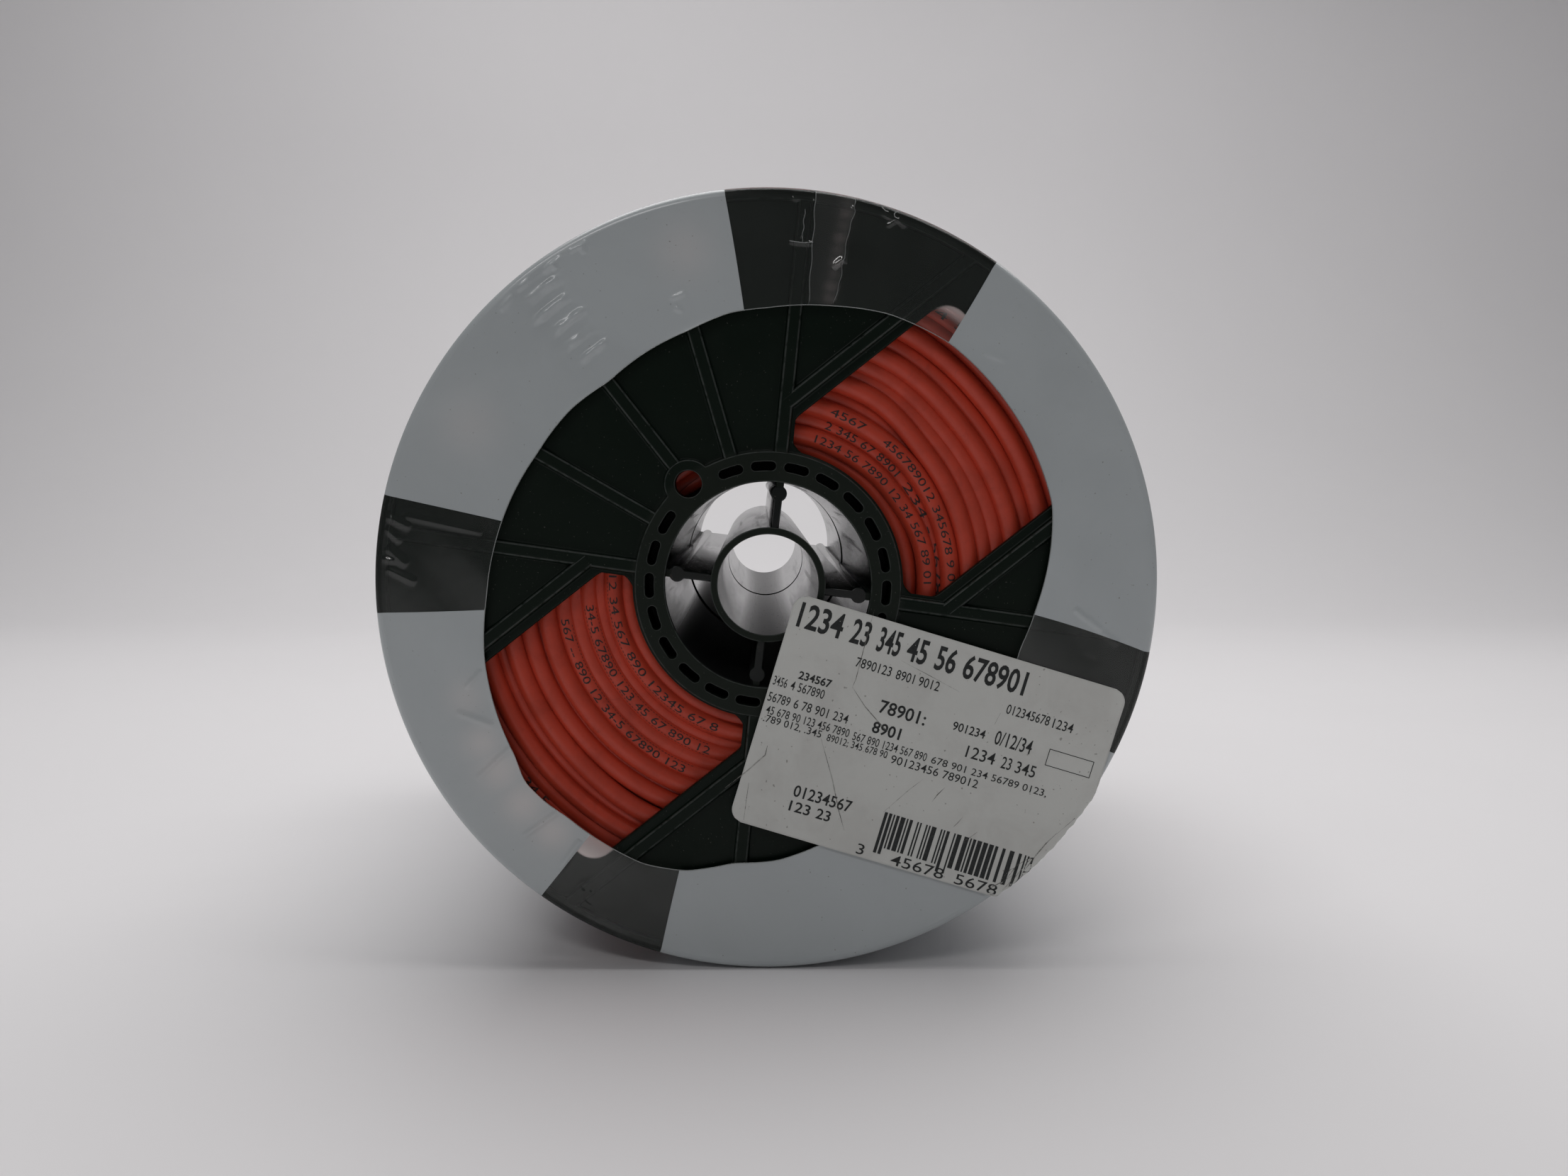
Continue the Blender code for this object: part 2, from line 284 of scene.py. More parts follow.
def dustGroup():  # Small specks of dust, thicker in some places than in others
    group, given, out = makeGroup("Dust Specks", [("Density", 0.5), ("Grain", 2200.0)], ["Mask"])
    specks = noiseNode(group, given.outputs["Grain"], 1.0, 0.5)
    lots = noiseNode(group, 45.0, 3.0)
    limit = mathNode(group, "MULTIPLY_ADD", given.outputs["Density"], -0.10, 0.85)
    limit = mathNode(group, "MULTIPLY_ADD", lots, -0.12, limit)
    top = mathNode(group, "ADD", limit, 0.05)
    group.links.new(stepNode(group, specks, limit, top), out.inputs["Mask"])
    return group


def smudgeGroup():  # Handling marks and cloudy patches
    group, given, out = makeGroup("Smudges", [("Size", 70.0), ("Low", 0.42), ("High", 0.68)], ["Mask"])
    cloud = noiseNode(group, given.outputs["Size"], 5.0, 0.62, distortion=0.6)
    group.links.new(stepNode(group, cloud, given.outputs["Low"], given.outputs["High"]), out.inputs["Mask"])
    return group


def grainGroup():  # Fine moulded or printed grain, as a height
    group, given, out = makeGroup("Fine Grain", [("Grain", 2500.0)], ["Height"])
    group.links.new(noiseNode(group, given.outputs["Grain"], 3.0, 0.6), out.inputs["Height"])
    return group


rubbedAndHighlitEdges = edgeWearAndHighlightGroup()
dustSpecks = dustGroup()
smudges = smudgeGroup()
fineGrain = grainGroup()


def newMaterial(name, settings):
    material = bpy.data.materials.new(name)
    material.use_nodes = True
    shader = material.node_tree.nodes["Principled BSDF"]
    for socket, value in settings.items():
        shader.inputs[socket].default_value = value
    return material, material.node_tree, shader


def place(tree, group, **values):
    node = tree.nodes.new("ShaderNodeGroup")
    node.node_tree = group
    for socket, value in values.items():
        node.inputs[socket].default_value = value
    return node.outputs[0]


def mixColor(tree, mask, first, second):
    node = tree.nodes.new("ShaderNodeMix")
    node.data_type = "RGBA"
    tree.links.new(mask, node.inputs["Factor"])
    for socket, value in ((node.inputs["A"], first), (node.inputs["B"], second)):
        feed(tree, value, socket)
    return node.outputs["Result"]


def mixValue(tree, mask, low, high):
    node = tree.nodes.new("ShaderNodeMapRange")
    tree.links.new(mask, node.inputs["Value"])
    node.inputs["To Min"].default_value = low
    node.inputs["To Max"].default_value = high
    return node.outputs["Result"]


def addBump(tree, shader, height, distance):
    node = tree.nodes.new("ShaderNodeBump")
    node.inputs["Distance"].default_value = distance
    node.inputs["Strength"].default_value = 1.0
    tree.links.new(height, node.inputs["Height"])
    tree.links.new(node.outputs["Normal"], shader.inputs["Normal"])


# Spool halves: two like mouldings in black plastic

spoolFinish = {
    "black": (0.0016, 0.0064, 0.0030),
    # rounded shoulders are painted lighter: partly wear, partly a painted highlight
    "rubbedAndHighlight": (0.058, 0.066, 0.061),
    "handled": (0.011, 0.015, 0.011),
    "dust": (0.10, 0.10, 0.09),
    "roughness": (0.36, 0.50),
    "dustRoughness": 0.8,
    "shine": 0.16,
    "wearAndHighlight": 0.8,
    "grainHeight": 0.012 * mm,
    "handledEdge": (27.9 * mm, 29.5 * mm),     # the hub's handled tone ends between these radii
    "bore": (0.003, 0.005, 0.004),
    "boreMarks": (0.022, 0.021, 0.018),
    "boreDust": (0.020, 0.018, 0.014),
    "boreRoughness": (0.15, 0.30),
    "boreDustRoughness": 0.7,
    "lowRoughness": 0.62,                      # low in the bore, where dust has settled
}


def moulding(name):
    material, tree, shader = newMaterial(name, {"Specular IOR Level": spoolFinish["shine"]})
    edges = place(tree, rubbedAndHighlitEdges, Amount=spoolFinish["wearAndHighlight"], Grain=700.0)
    dust = place(tree, dustSpecks, Density=0.5, Grain=2400.0)
    cloud = place(tree, smudges, Size=55.0, Low=0.40, High=0.72)
    where = splitNode(tree, tree.nodes.new("ShaderNodeTexCoord").outputs["Object"])
    up = mathNode(tree, "SUBTRACT", where["Z"], axisHeight)
    across = mathNode(tree, "MULTIPLY", where["X"], where["X"])
    reach = mathNode(tree, "SQRT", mathNode(tree, "MULTIPLY_ADD", up, up, across))
    hub = mathNode(tree, "SUBTRACT", 1.0, stepNode(tree, reach, *spoolFinish["handledEdge"]))
    hub = mathNode(tree, "MULTIPLY", hub, mixValue(tree, cloud, 0.75, 1.0))
    color = mixColor(tree, hub, spoolFinish["black"], spoolFinish["handled"])
    # lighter shoulders: wear and a painted highlight
    color = mixColor(tree, edges, color, spoolFinish["rubbedAndHighlight"])
    color = mixColor(tree, mathNode(tree, "MULTIPLY", dust, 0.5), color, spoolFinish["dust"])
    tree.links.new(color, shader.inputs["Base Color"])
    rough = mixValue(tree, cloud, *spoolFinish["roughness"])
    rough = mathNode(tree, "MAXIMUM", rough, mixValue(tree, dust, 0.0, spoolFinish["dustRoughness"]))
    tree.links.new(rough, shader.inputs["Roughness"])
    addBump(tree, shader, place(tree, fineGrain, Grain=2600.0), spoolFinish["grainHeight"])
    return material


def boreMoulding(name, shine, marked):
    material, tree, shader = newMaterial(name, {"Specular IOR Level": shine})
    long, longer = (1.0, 0.12, 1.0), (1.0, 0.03, 1.0)     # the marks run along the bore
    cloud = stepNode(tree, noiseNode(tree, 75.0, 4.0, 0.6, stretch=long), 0.46, 0.74)
    scrapes = stepNode(tree, noiseNode(tree, 330.0, 4.0, 0.6, stretch=longer), 0.52, 0.76)
    dust = place(tree, dustSpecks, Density=0.9, Grain=1300.0)
    marks = mathNode(tree, "MAXIMUM", mathNode(tree, "MULTIPLY", cloud, 0.7), scrapes)
    marks = mathNode(tree, "MULTIPLY", marks, marked)
    faint = mathNode(tree, "MULTIPLY", marks, 0.6)
    color = mixColor(tree, faint, spoolFinish["bore"], spoolFinish["boreMarks"])
    color = mixColor(tree, dust, color, spoolFinish["boreDust"])
    tree.links.new(color, shader.inputs["Base Color"])
    where = splitNode(tree, tree.nodes.new("ShaderNodeTexCoord").outputs["Object"])
    drop = mathNode(tree, "SUBTRACT", axisHeight, where["Z"])
    settled = stepNode(tree, drop, -3 * mm, 13 * mm)
    settled = mathNode(tree, "MULTIPLY", settled, stepNode(tree, drop, 5 * mm, 15 * mm))
    rough = mixValue(tree, marks, *spoolFinish["boreRoughness"])
    rough = mathNode(tree, "MAXIMUM", rough, mixValue(tree, dust, 0.0, spoolFinish["boreDustRoughness"]))
    rough = mathNode(tree, "MAXIMUM", rough, mixValue(tree, settled, 0.0, spoolFinish["lowRoughness"]))
    tree.links.new(rough, shader.inputs["Roughness"])
    return material


flange = {
    "plateTop": -1.5 * mm, "plateBottom": -3.7 * mm,
    "hubRadius": 28.2 * mm, "bore": 21.8 * mm, "boreAtSeam": 21.2 * mm, "barrel": 27.0 * mm,
    "bossRadius": 5.1 * mm, "startHole": 2.85 * mm, "startPlace": 27.1 * mm, "holeDepth": 12 * mm,
    "slotRing": 25.1 * mm, "slotLength": 5.3 * mm, "slotWidth": 1.9 * mm,
    "slotStep": radians(16), "slotsEachSide": 10,
    "arbor": 10.7 * mm, "arborAtSeam": 10.2 * mm, "arborWall": 1.5 * mm,
    "seamGroove": 0.5 * mm, "seamRun": 4.0 * mm, "arborSeamRun": 1.8 * mm,
    "webHalf": 0.85 * mm, "webTop": -1.5 * mm, "columnRadius": 1.7 * mm, "columnRing": 19.4 * mm,
    "rimWidth": 2.4 * mm, "rimDepth": 5.0 * mm,
    "ribHalf": 1.35 * mm, "ribStep": radians(21.9), "ridgeAcross": 27.6 * mm,
    "windowHalf": 24.0 * mm, "windowOuter": 70.0 * mm, "windowInner": 28.5 * mm, "windowCorner": 5.0 * mm,
    "steps": 192,
}


def windowOutline(direction):
    c = flange["windowCorner"]
    inner, outer = flange["windowInner"], flange["windowOuter"]
    y = flange["windowHalf"] - c
    near, far = sqrt((inner + c) ** 2 - y ** 2), sqrt((outer - c) ** 2 - y ** 2)
    nearAngle, farAngle = atan2(y, near), atan2(y, far)
    points = circle(c, 12, (near, y), pi / 2, pi + nearAngle, True)
    points += circle(inner, 24, (0, 0), nearAngle, -nearAngle, True)[1:-1]
    points += circle(c, 12, (near, -y), pi - nearAngle, 3 * pi / 2, True)
    points += circle(c, 10, (far, -y), -pi / 2, -farAngle, True)
    points += circle(outer, 28, (0, 0), -farAngle, farAngle, True)[1:-1]
    points += circle(c, 10, (far, y), farAngle, pi / 2, True)
    turn = Matrix.Rotation(direction, 2)
    return [tuple(turn @ Vector(point)) for point in reversed(points)]


def slotOutline(angle):
    r, end = flange["slotRing"], flange["slotWidth"] / 2
    reach = (flange["slotLength"] / 2 - end) / r
    points = circle(r + end, 4, (0, 0), angle - reach, angle + reach, True)
    for a, turn in ((angle + reach, 0), (angle - reach, pi)):
        points += circle(end, 8, (r * cos(a), r * sin(a)), a + turn, a + turn + pi, True)[1:-1]
        if turn == 0:
            points += circle(r - end, 4, (0, 0), angle + reach, angle - reach, True)
    return points[::-1]


def hubOutline(inset=0.0):  # The hub ring and the boss round the start hole, as one outline
    ring, boss, apart = flange["hubRadius"] - inset, flange["bossRadius"] - inset, flange["startPlace"]
    along = (apart ** 2 + ring ** 2 - boss ** 2) / (2 * apart)
    onRing = acos(along / ring)
    onBoss = acos((along - apart) / boss)
    points = circle(ring, flange["steps"], (0, 0), pi / 2 + onRing, 5 * pi / 2 - onRing, True)
    points += circle(boss, 30, (0, apart), pi / 2 - onBoss, pi / 2 + onBoss, True)[1:-1]
    return points


def addHub(shape):
    edge, foot = 0.35 * mm, flange["plateTop"]
    fillet = [(0.0, foot + 0.45 * mm), (0.13 * mm, foot + 0.13 * mm), (0.5 * mm, foot - 0.02 * mm)]
    outer = roundOver(edge, 0.0) + fillet
    groove, shoulder = flange["seamGroove"], -seamDepth + flange["seamRun"]
    draft = flange["bore"] - flange["boreAtSeam"]
    boreWall = roundOver(0.3 * mm, 0.0) + [(0.01 * mm, -2 * mm), (draft, shoulder)]
    boreWall += [(draft - groove, shoulder - 0.01 * mm), (draft - groove, -seamDepth)]
    holeWall = roundOver(0.22 * mm, 0.0) + [(0.0, -flange["holeDepth"])]
    loops = [(hubOutline(), outer), (circle(flange["bore"], flange["steps"])[::-1], boreWall),
             (circle(flange["startHole"], 32, (0, flange["startPlace"]))[::-1], holeWall)]
    for k in range(-flange["slotsEachSide"], flange["slotsEachSide"] + 1):
        loops.append((slotOutline(-pi / 2 + flange["slotStep"] * k), holeWall))
    ends = addFlat(shape, loops)
    for ids in ends[2:]:
        addFace(shape, ids)
    barrel = [(flange["boreAtSeam"] + groove, -seamDepth), (flange["barrel"], -seamDepth),
              (flange["barrel"], flange["plateBottom"] + 0.5 * mm)]
    addRings(shape, barrel, flange["steps"], closed=False)


def addPlate(shape):
    top, bottom = flange["plateTop"], flange["plateBottom"]
    wall = roundOver(0.4 * mm, top)
    under = [(out, top + bottom - z) for out, z in reversed(wall)]
    hidden = [(0.0, top), (0.0, bottom)]
    outer = circle(rimRadius - 1.5 * mm, flange["steps"])
    inner = hubOutline(0.6 * mm)[::-1]
    windows = [windowOutline(d) for d in (0, pi)]
    loops = [(outer, hidden), (inner, hidden)] + [(w, wall + under) for w in windows]
    ends = addFlat(shape, loops)
    flat = [[Vector(shape["points"][i]) for i in ids] for ids in ends]
    ids = [i for end in ends for i in end]
    for triangle in tessellate_polygon(flat):
        addFace(shape, [ids[i] for i in reversed(triangle)])


def addRim(shape):
    inner, back = rimRadius - flange["rimWidth"], -flange["rimDepth"]
    corners = [(inner - 0.6 * mm, -1.62 * mm, 0), (inner, flange["plateTop"], 0.4 * mm),
               (inner, 0, 0.45 * mm), (rimRadius, 0, 0.8 * mm), (rimRadius, back, 0.6 * mm),
               (inner, back, 0.4 * mm), (inner - 0.9 * mm, -3.6 * mm, 0)]
    addRings(shape, roundedPath(corners), 2 * flange["steps"])


def addRib(shape, start, end, top):
    half, foot = flange["ribHalf"], flange["plateTop"]
    corners = [(-half - 1.0 * mm, foot - 0.02 * mm, 0), (-half - 0.15 * mm, foot - 0.02 * mm, 0.6 * mm),
               (-half, top, 0.6 * mm)]
    section = roundedPath(corners + [(-x, z, r) for x, z, r in reversed(corners)], closed=False)
    along = (Vector(end) - Vector(start)).normalized()
    rows = [[(x + along.y * s, y - along.x * s, z) for s, z in section] for x, y in (start, end)]
    addGrid(shape, rows)


def addRibs(shape):
    inner, outer = flange["hubRadius"] - 1 * mm, rimRadius - 1.2 * mm
    for side in (pi / 2, -pi / 2):
        for k in range(-2, 3):
            a = side + flange["ribStep"] * k
            start = inner + 4.4 * mm if (side > 0 and k == 0) else inner  # the middle rib stops at the boss
            addRib(shape, (start * cos(a), start * sin(a)), (outer * cos(a), outer * sin(a)),
                   -(0.10 + 0.02 * (k + 2)) * mm)
    y = flange["ridgeAcross"]
    steepest = pi / 2 - 2 * flange["ribStep"]
    near, far = y / tan(steepest), sqrt(outer ** 2 - y ** 2)
    for across in (1, -1):
        for along in (1, -1):
            addRib(shape, (along * near, across * y), (along * far, across * y), -0.07 * mm)


def addArbor(shape):
    inner, outer = flange["arbor"], flange["arbor"] + flange["arborWall"]
    top = -0.5 * mm
    atSeam, shoulder = flange["arborAtSeam"], -seamDepth + flange["arborSeamRun"]
    cut = atSeam + flange["seamGroove"]
    corners = [(inner, top, 0.25 * mm), (outer, top, 0.3 * mm), (outer, -seamDepth, 0), (cut, -seamDepth, 0),
               (cut, shoulder - 0.01 * mm, 0), (atSeam, shoulder, 0)]
    addRings(shape, roundedPath(corners), 128)


def addWeb(shape, angle):
    inner, outer = flange["arbor"] + flange["arborWall"] / 2, (flange["bore"] + flange["barrel"]) / 2
    half, column, ring = flange["webHalf"], flange["columnRadius"], flange["columnRing"]
    reach = acos(sqrt(column ** 2 - half ** 2) / column)
    lower = [(inner, -half)] + circle(column, 10, (ring, 0), -pi + reach, -reach, True) + [(outer, -half)]
    upper = [(outer, half)] + circle(column, 10, (ring, 0), reach, pi - reach, True) + [(inner, half)]
    turn = Matrix.Rotation(angle, 2)
    outline = [tuple(turn @ Vector(point)) for point in lower + upper]
    addFlat(shape, [(outline, roundOver(0.2 * mm, flange["webTop"]) + [(0.0, -seamDepth)])])


# Faces inside the bores take a glossy finish: the wall one, the arbor and webs another.
# The groove at the seam keeps the plain one.
def glossBelow(shape):
    depth, reach, wall = -0.9 * mm, flange["bore"] + 0.25 * mm, flange["boreAtSeam"] - 0.8 * mm
    seam = -seamDepth + 1.01 * flange["seamRun"]
    for i, face in enumerate(shape["faces"]):
        points = [shape["points"][k] for k in face]
        radii = [hypot(x, y) for x, y, z in points]
        heights = [z for x, y, z in points]
        if max(radii) < reach and min(heights) < depth and max(heights) > seam:
            shape["slots"][i] = 1 if min(radii) > wall else 2


def spoolHalf(name, where):
    shape = emptyShape()
    addHub(shape)
    addPlate(shape)
    addRim(shape)
    addRibs(shape)
    addArbor(shape)
    for k in range(4):
        addWeb(shape, 2 * pi * (k + 0.5) / 4)
    glossBelow(shape)
    return finishShape(name, shape, (blackPlastic, borePlastic, corePlastic), where, sharp=radians(50))


blackPlastic = moulding("black moulded plastic")
borePlastic = boreMoulding("glossy bore plastic", 0.33, 0.8)
corePlastic = boreMoulding("glossy core plastic", 0.46, 0.5)
for half, name, where in (("spool_front_half", "front_moulding", frontPlace),
                          ("spool_back_half", "back_moulding", backPlace)):
    piece = spoolHalf(name, where)
    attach(piece, "root")
    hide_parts(half)
print("spool halves made")


# Wire: the turns that show at both ends, the outer layer, and what is printed on it

wire = {
    "radius": 2.15 * mm,
    "setBack": 4.0 * mm,      # crest of the proud turns behind the flange face
    "outerLayer": 67.3 * mm,
    "hiddenTurns": 12,        # plain turns behind those that show
    "hiddenStart": 29.5 * mm,
    "layerStep": 3.65 * mm,
    # steps round the spool and segments round the wire
    "frontDetail": (180, 16), "backDetail": (120, 12), "hiddenDetail": (72, 6), "outerDetail": (60, 8),
    "stub": ((-5.0 * mm, 28.0 * mm, -7.6 * mm), (5.0 * mm, 26.4 * mm, -7.2 * mm)),
    "jacket": (0.56, 0.058, 0.028),
    "groove": (0.24, 0.024, 0.014),
    "print": (0.030, 0.018, 0.016),
    "printHeight": 1.7 * mm,
    "dash": 0.42 * mm, "dashGap": 0.40 * mm, "dashHeight": 0.11 * mm,
    # each turn: radius at 10, 38 and 62 degrees, its depth there, then at 200, 220 and 242 degrees
    "turns": [
        ((30.2, 30.2, 30.0), (2.4, 2.4, 2.4), (30.0, 30.0, 30.0), (0.9, 0.9, 0.9)),
        ((34.2, 33.0, 32.5), (0.1, 0.1, 0.1), (33.2, 33.0, 33.0), (0.1, 0.1, 0.1)),
        ((36.7, 36.3, 36.0), (2.2, 2.0, 1.8), (36.0, 36.0, 35.9), (1.4, 1.5, 1.5)),
        ((41.2, 41.6, 42.2), (4.3, 3.4, 2.4), (38.4, 38.4, 38.4), (0.7, 0.8, 0.8)),
        ((39.3, 39.4, 39.0), (0.0, 0.0, 0.0), (41.5, 41.3, 41.2), (1.2, 1.2, 1.1)),
        ((43.4, 43.6, 45.4), (0.0, 0.0, 0.0), (44.2, 44.1, 44.2), (0.8, 0.9, 0.9)),
        ((46.9, 47.0, 48.2), (0.9, 1.1, 1.9), (47.9, 47.6, 47.5), (0.0, 0.0, 0.0)),
        ((49.9, 49.7, 50.8), (1.0, 1.0, 1.1), (50.4, 50.3, 50.1), (2.4, 2.4, 2.6)),
        ((51.0, 51.0, 51.0), (4.2, 4.2, 4.2), (52.3, 52.2, 52.2), (0.7, 0.8, 0.8)),
        ((53.4, 53.1, 54.0), (0.0, 0.0, 0.0), (56.2, 56.1, 56.7), (0.0, 0.0, 0.0)),
        ((56.8, 56.6, 57.4), (1.9, 2.0, 1.9), (59.1, 59.0, 59.4), (2.1, 2.2, 2.2)),
        ((60.2, 60.4, 61.0), (0.0, 0.0, 0.0), (62.3, 62.2, 62.2), (0.0, 0.0, 0.0)),
        ((64.3, 64.5, 65.0), (0.8, 0.8, 0.9), (65.2, 65.3, 65.2), (1.5, 1.4, 1.3)),
        ((67.6, 67.7, 67.9), (0.5, 0.4, 0.3), (67.3, 67.6, 68.0), (1.9, 1.9, 1.8)),
    ],
    "keys": (10, 38, 62, 200, 220, 242),
}


def jacketMaterial():
    settings = {"Specular IOR Level": 0.34, "Coat Roughness": 0.25}
    material, tree, shader = newMaterial("orange red wire jacket", settings)
    tone = place(tree, smudges, Size=120.0, Low=0.35, High=0.75)
    grime = place(tree, smudges, Size=420.0, Low=0.55, High=0.80)
    color = mixColor(tree, tone, wire["jacket"], tuple(0.80 * c for c in wire["jacket"]))
    color = mixColor(tree, mathNode(tree, "MULTIPLY", grime, 0.35), color, wire["groove"])
    tree.links.new(color, shader.inputs["Base Color"])
    tree.links.new(mixValue(tree, tone, 0.34, 0.50), shader.inputs["Roughness"])
    tree.links.new(mixValue(tree, tone, 0.14, 0.04), shader.inputs["Coat Weight"])
    addBump(tree, shader, place(tree, fineGrain, Grain=900.0), 0.02 * mm)
    return material


def plainInk(name, color, roughness):
    material, tree, shader = newMaterial(name, {"Specular IOR Level": 0.35})
    worn = place(tree, smudges, Size=1500.0, Low=0.50, High=0.78)
    faded = tuple(2.2 * c + 0.01 for c in color)
    tree.links.new(mixColor(tree, worn, color, faded), shader.inputs["Base Color"])
    tree.links.new(mixValue(tree, worn, roughness, roughness + 0.15), shader.inputs["Roughness"])
    return material


def turnPath(turn, angles):  # Radius and depth of a turn's middle round the spool
    radii = [(d, r * mm) for d, r in zip(wire["keys"], turn[0] + turn[2])]
    depths = [(d, b * mm) for d, b in zip(wire["keys"], turn[1] + turn[3])]
    return smoothRound(radii, angles), smoothRound(depths, angles) + wire["setBack"] + wire["radius"]


def turnRadius(turn, angle):
    return turnPath(turn, np.array([angle]))[0][0]


def smoothRound(keys, angles):  # Cosine steps between keys (degrees, value) that close round the spool
    at = [k[0] for k in keys] + [keys[0][0] + 360]
    values = [k[1] for k in keys] + [keys[0][1]]
    wrapped = (np.degrees(angles) - at[0]) % 360 + at[0]
    found = np.zeros_like(wrapped)
    for i in range(len(keys)):
        inside = (wrapped >= at[i]) & (wrapped <= at[i + 1])
        t = (wrapped[inside] - at[i]) / (at[i + 1] - at[i])
        found[inside] = values[i] + (values[i + 1] - values[i]) * (0.5 - 0.5 * np.cos(pi * t))
    return found


def addTurn(shape, radii, ys, angles, segments, closed=True):
    outs = np.stack([np.cos(angles), np.zeros_like(angles), np.sin(angles)], 1)
    centers = outs * radii[:, None]
    centers[:, 1] = ys
    centers[:, 2] += axisHeight
    sides = np.tile([0.0, -1.0, 0.0], (len(angles), 1))
    addTube(shape, centers, outs, sides, wire["radius"], segments, closed)


def wireWinding():
    shape = emptyShape()
    depth = wire["setBack"] + 3.1 * wire["radius"]
    for face, inward, detail in ((frontFace, 1, "frontDetail"), (backFace, -1, "backDetail")):
        steps, segments = wire[detail]
        angles = np.arange(steps) * 2 * pi / steps
        seen = angles if inward > 0 else (angles + pi) % (2 * pi)
        for turn in wire["turns"]:
            radii, depths = turnPath(turn, seen)
            addTurn(shape, radii, face + inward * depths, angles, segments)
        steps, segments = wire["hiddenDetail"]
        angles = np.arange(steps) * 2 * pi / steps
        for k in range(wire["hiddenTurns"]):
            radii = np.full_like(angles, wire["hiddenStart"] + k * wire["layerStep"])
            addTurn(shape, radii, np.full_like(angles, face + inward * depth), angles, segments)
    return shape


def addOuterLayer(shape):  # The last layer, one long helix from flange to flange
    depth = wire["setBack"] + wire["radius"]
    pitch = 2.02 * wire["radius"]
    run = 2 * (halfLength - depth) - 4 * wire["radius"]
    turns = int(run / pitch)
    steps, segments = wire["outerDetail"]
    along = np.arange(turns * steps + 1) / steps
    angles = along * 2 * pi
    ys = frontFace + depth + 2 * wire["radius"] + along * run / turns
    sway = 0.25 * mm * np.sin(along * 1.7) + 0.2 * mm * np.sin(angles * 2 + along)
    radii = wire["outerLayer"] + 0.5 * sway
    addTurn(shape, radii, ys + 0.4 * sway, angles, segments, closed=False)


def fontOutline(body, bold):  # Flat mesh of a line of digits, 1 high, from Blender's own font
    curve = bpy.data.curves.new("digits", "FONT")
    curve.body = body
    curve.offset = bold
    curve.resolution_u = 3
    item = bpy.data.objects.new("digits", curve)
    bpy.context.scene.collection.objects.link(item)
    bpy.context.view_layer.update()
    mesh = bpy.data.meshes.new_from_object(item.evaluated_get(bpy.context.evaluated_depsgraph_get()))
    bm = bmesh.new()
    bm.from_mesh(mesh)
    heights = [v.co.y for v in bm.verts]
    low, tall = min(heights), max(heights) - min(heights)
    bands = 8
    for k in range(1, bands):  # the cuts let the digits bend round the wire
        parts = bm.verts[:] + bm.edges[:] + bm.faces[:]
        bmesh.ops.bisect_plane(bm, geom=parts, plane_co=(0, low + tall * k / bands, 0), plane_no=(0, 1, 0))
    bm.verts.index_update()
    points = np.array([v.co[:2] for v in bm.verts])
    faces = [tuple(v.index for v in face.verts) for face in bm.faces]
    bm.free()
    bpy.data.objects.remove(item)
    bpy.data.meshes.remove(mesh)
    bpy.data.curves.remove(curve)
    return (points - points.min(0)) / tall, faces


# A line of digits from start (u, v), height high and width long, laid on surface(u, v)
def addDigits(shape, body, start, height, width, surface, bold=0.0):
    points, faces = fontOutline(body, bold)
    points[:, 1] *= height
    points[:, 0] *= width / points[:, 0].max()
    first = len(shape["points"])
    shape["points"].extend(surface(start[0] + u, start[1] + v) for u, v in points)
    for face in faces:
        addFace(shape, [first + i for i in face])


def addPatch(shape, low, high, surface, steps=(1, 1)):  # A small rectangle laid on surface(u, v)
    rows = []
    for i in range(steps[1] + 1):
        v = low[1] + (high[1] - low[1]) * i / steps[1]
        rows.append([surface(low[0] + (high[0] - low[0]) * j / steps[0], v) for j in range(steps[0] + 1)])
    addGrid(shape, rows)


def counting(pattern, first=1):  # Digits in counting order, with the gaps of the pattern, such as '### ##'
    digit, out = first, ""
    for mark in pattern:
        if mark == "#":
            out += str(digit % 10)
            digit += 1
        else:
            out += mark
    return out


wirePrint = [
    # turn, start in degrees, length in degrees, digits, tops outward
    (1, 72, 72, "#### ## #### ## ## ### ## ##", True),
    (2, 70, 30, "# ### ## ####", True),
    (2, 36, 40, "### - ####", True),
    (4, 70, 12, "####", True),
    (4, 51, 52, "######### ###### # ##", True),
    (13, 61, 9, "## #", True),
    (1, 177, 74, "## ## ### ### ##### ## #", False),
    (3, 187, 64, "##-# ##### ### ## ## ### ##", False),
    (5, 190, 56, "### -- ### ## ##-# ##### ###", False),
    (13, 219, 6, "## #", False),
]

# fine dotted lines beside the digits: turn, start and end in degrees, place across the turn in mm
dottedLines = ((1, 178, 250, -1.25), (3, 188, 250, 1.25), (3, 188, 250, -1.30), (5, 192, 248, 1.30))


def turnSurface(turn, startAngle, clockwise):
    middle = turnRadius(turn, startAngle)

    def onTurn(u, v):
        angle = startAngle - u / middle if clockwise else startAngle + u / middle
        radii, depths = turnPath(turn, np.array([angle % (2 * pi)]))
        lift = wire["radius"] + 0.03 * mm
        across = (v if clockwise else -v) / wire["radius"]
        r = radii[0] + lift * sin(across)
        return (r * cos(angle), frontFace + depths[0] - lift * cos(across), axisHeight + r * sin(angle))
    return onTurn


def addWirePrint(shape):
    for turn, start, length, pattern, clockwise in wirePrint:
        given = wire["turns"][turn]
        surface = turnSurface(given, radians(start), clockwise)
        wide = radians(length) * turnRadius(given, radians(start))
        height = wire["printHeight"]
        addDigits(shape, counting(pattern, turn), (0, -height / 2), height, wide, surface)


def addDottedLines(shape):
    for turn, start, end, across in dottedLines:
        given = wire["turns"][turn]
        surface = turnSurface(given, radians(start), False)
        length = radians(end - start) * turnRadius(given, radians(start))
        u = 0.0
        while u < length:
            addPatch(shape, (u, across * mm), (u + wire["dash"], across * mm + wire["dashHeight"]), surface)
            u += wire["dash"] + wire["dashGap"]


def startStub():  # The wire's first end, seen in the start hole
    shape = emptyShape()
    low, high = (Vector(end) for end in wire["stub"])
    along = (high - low).normalized()
    out = along.cross(Vector((0, 0, 1))).normalized()
    side = along.cross(out)
    addTube(shape, [low, high], [out, out], [side, side], wire["radius"], 16)
    return shape


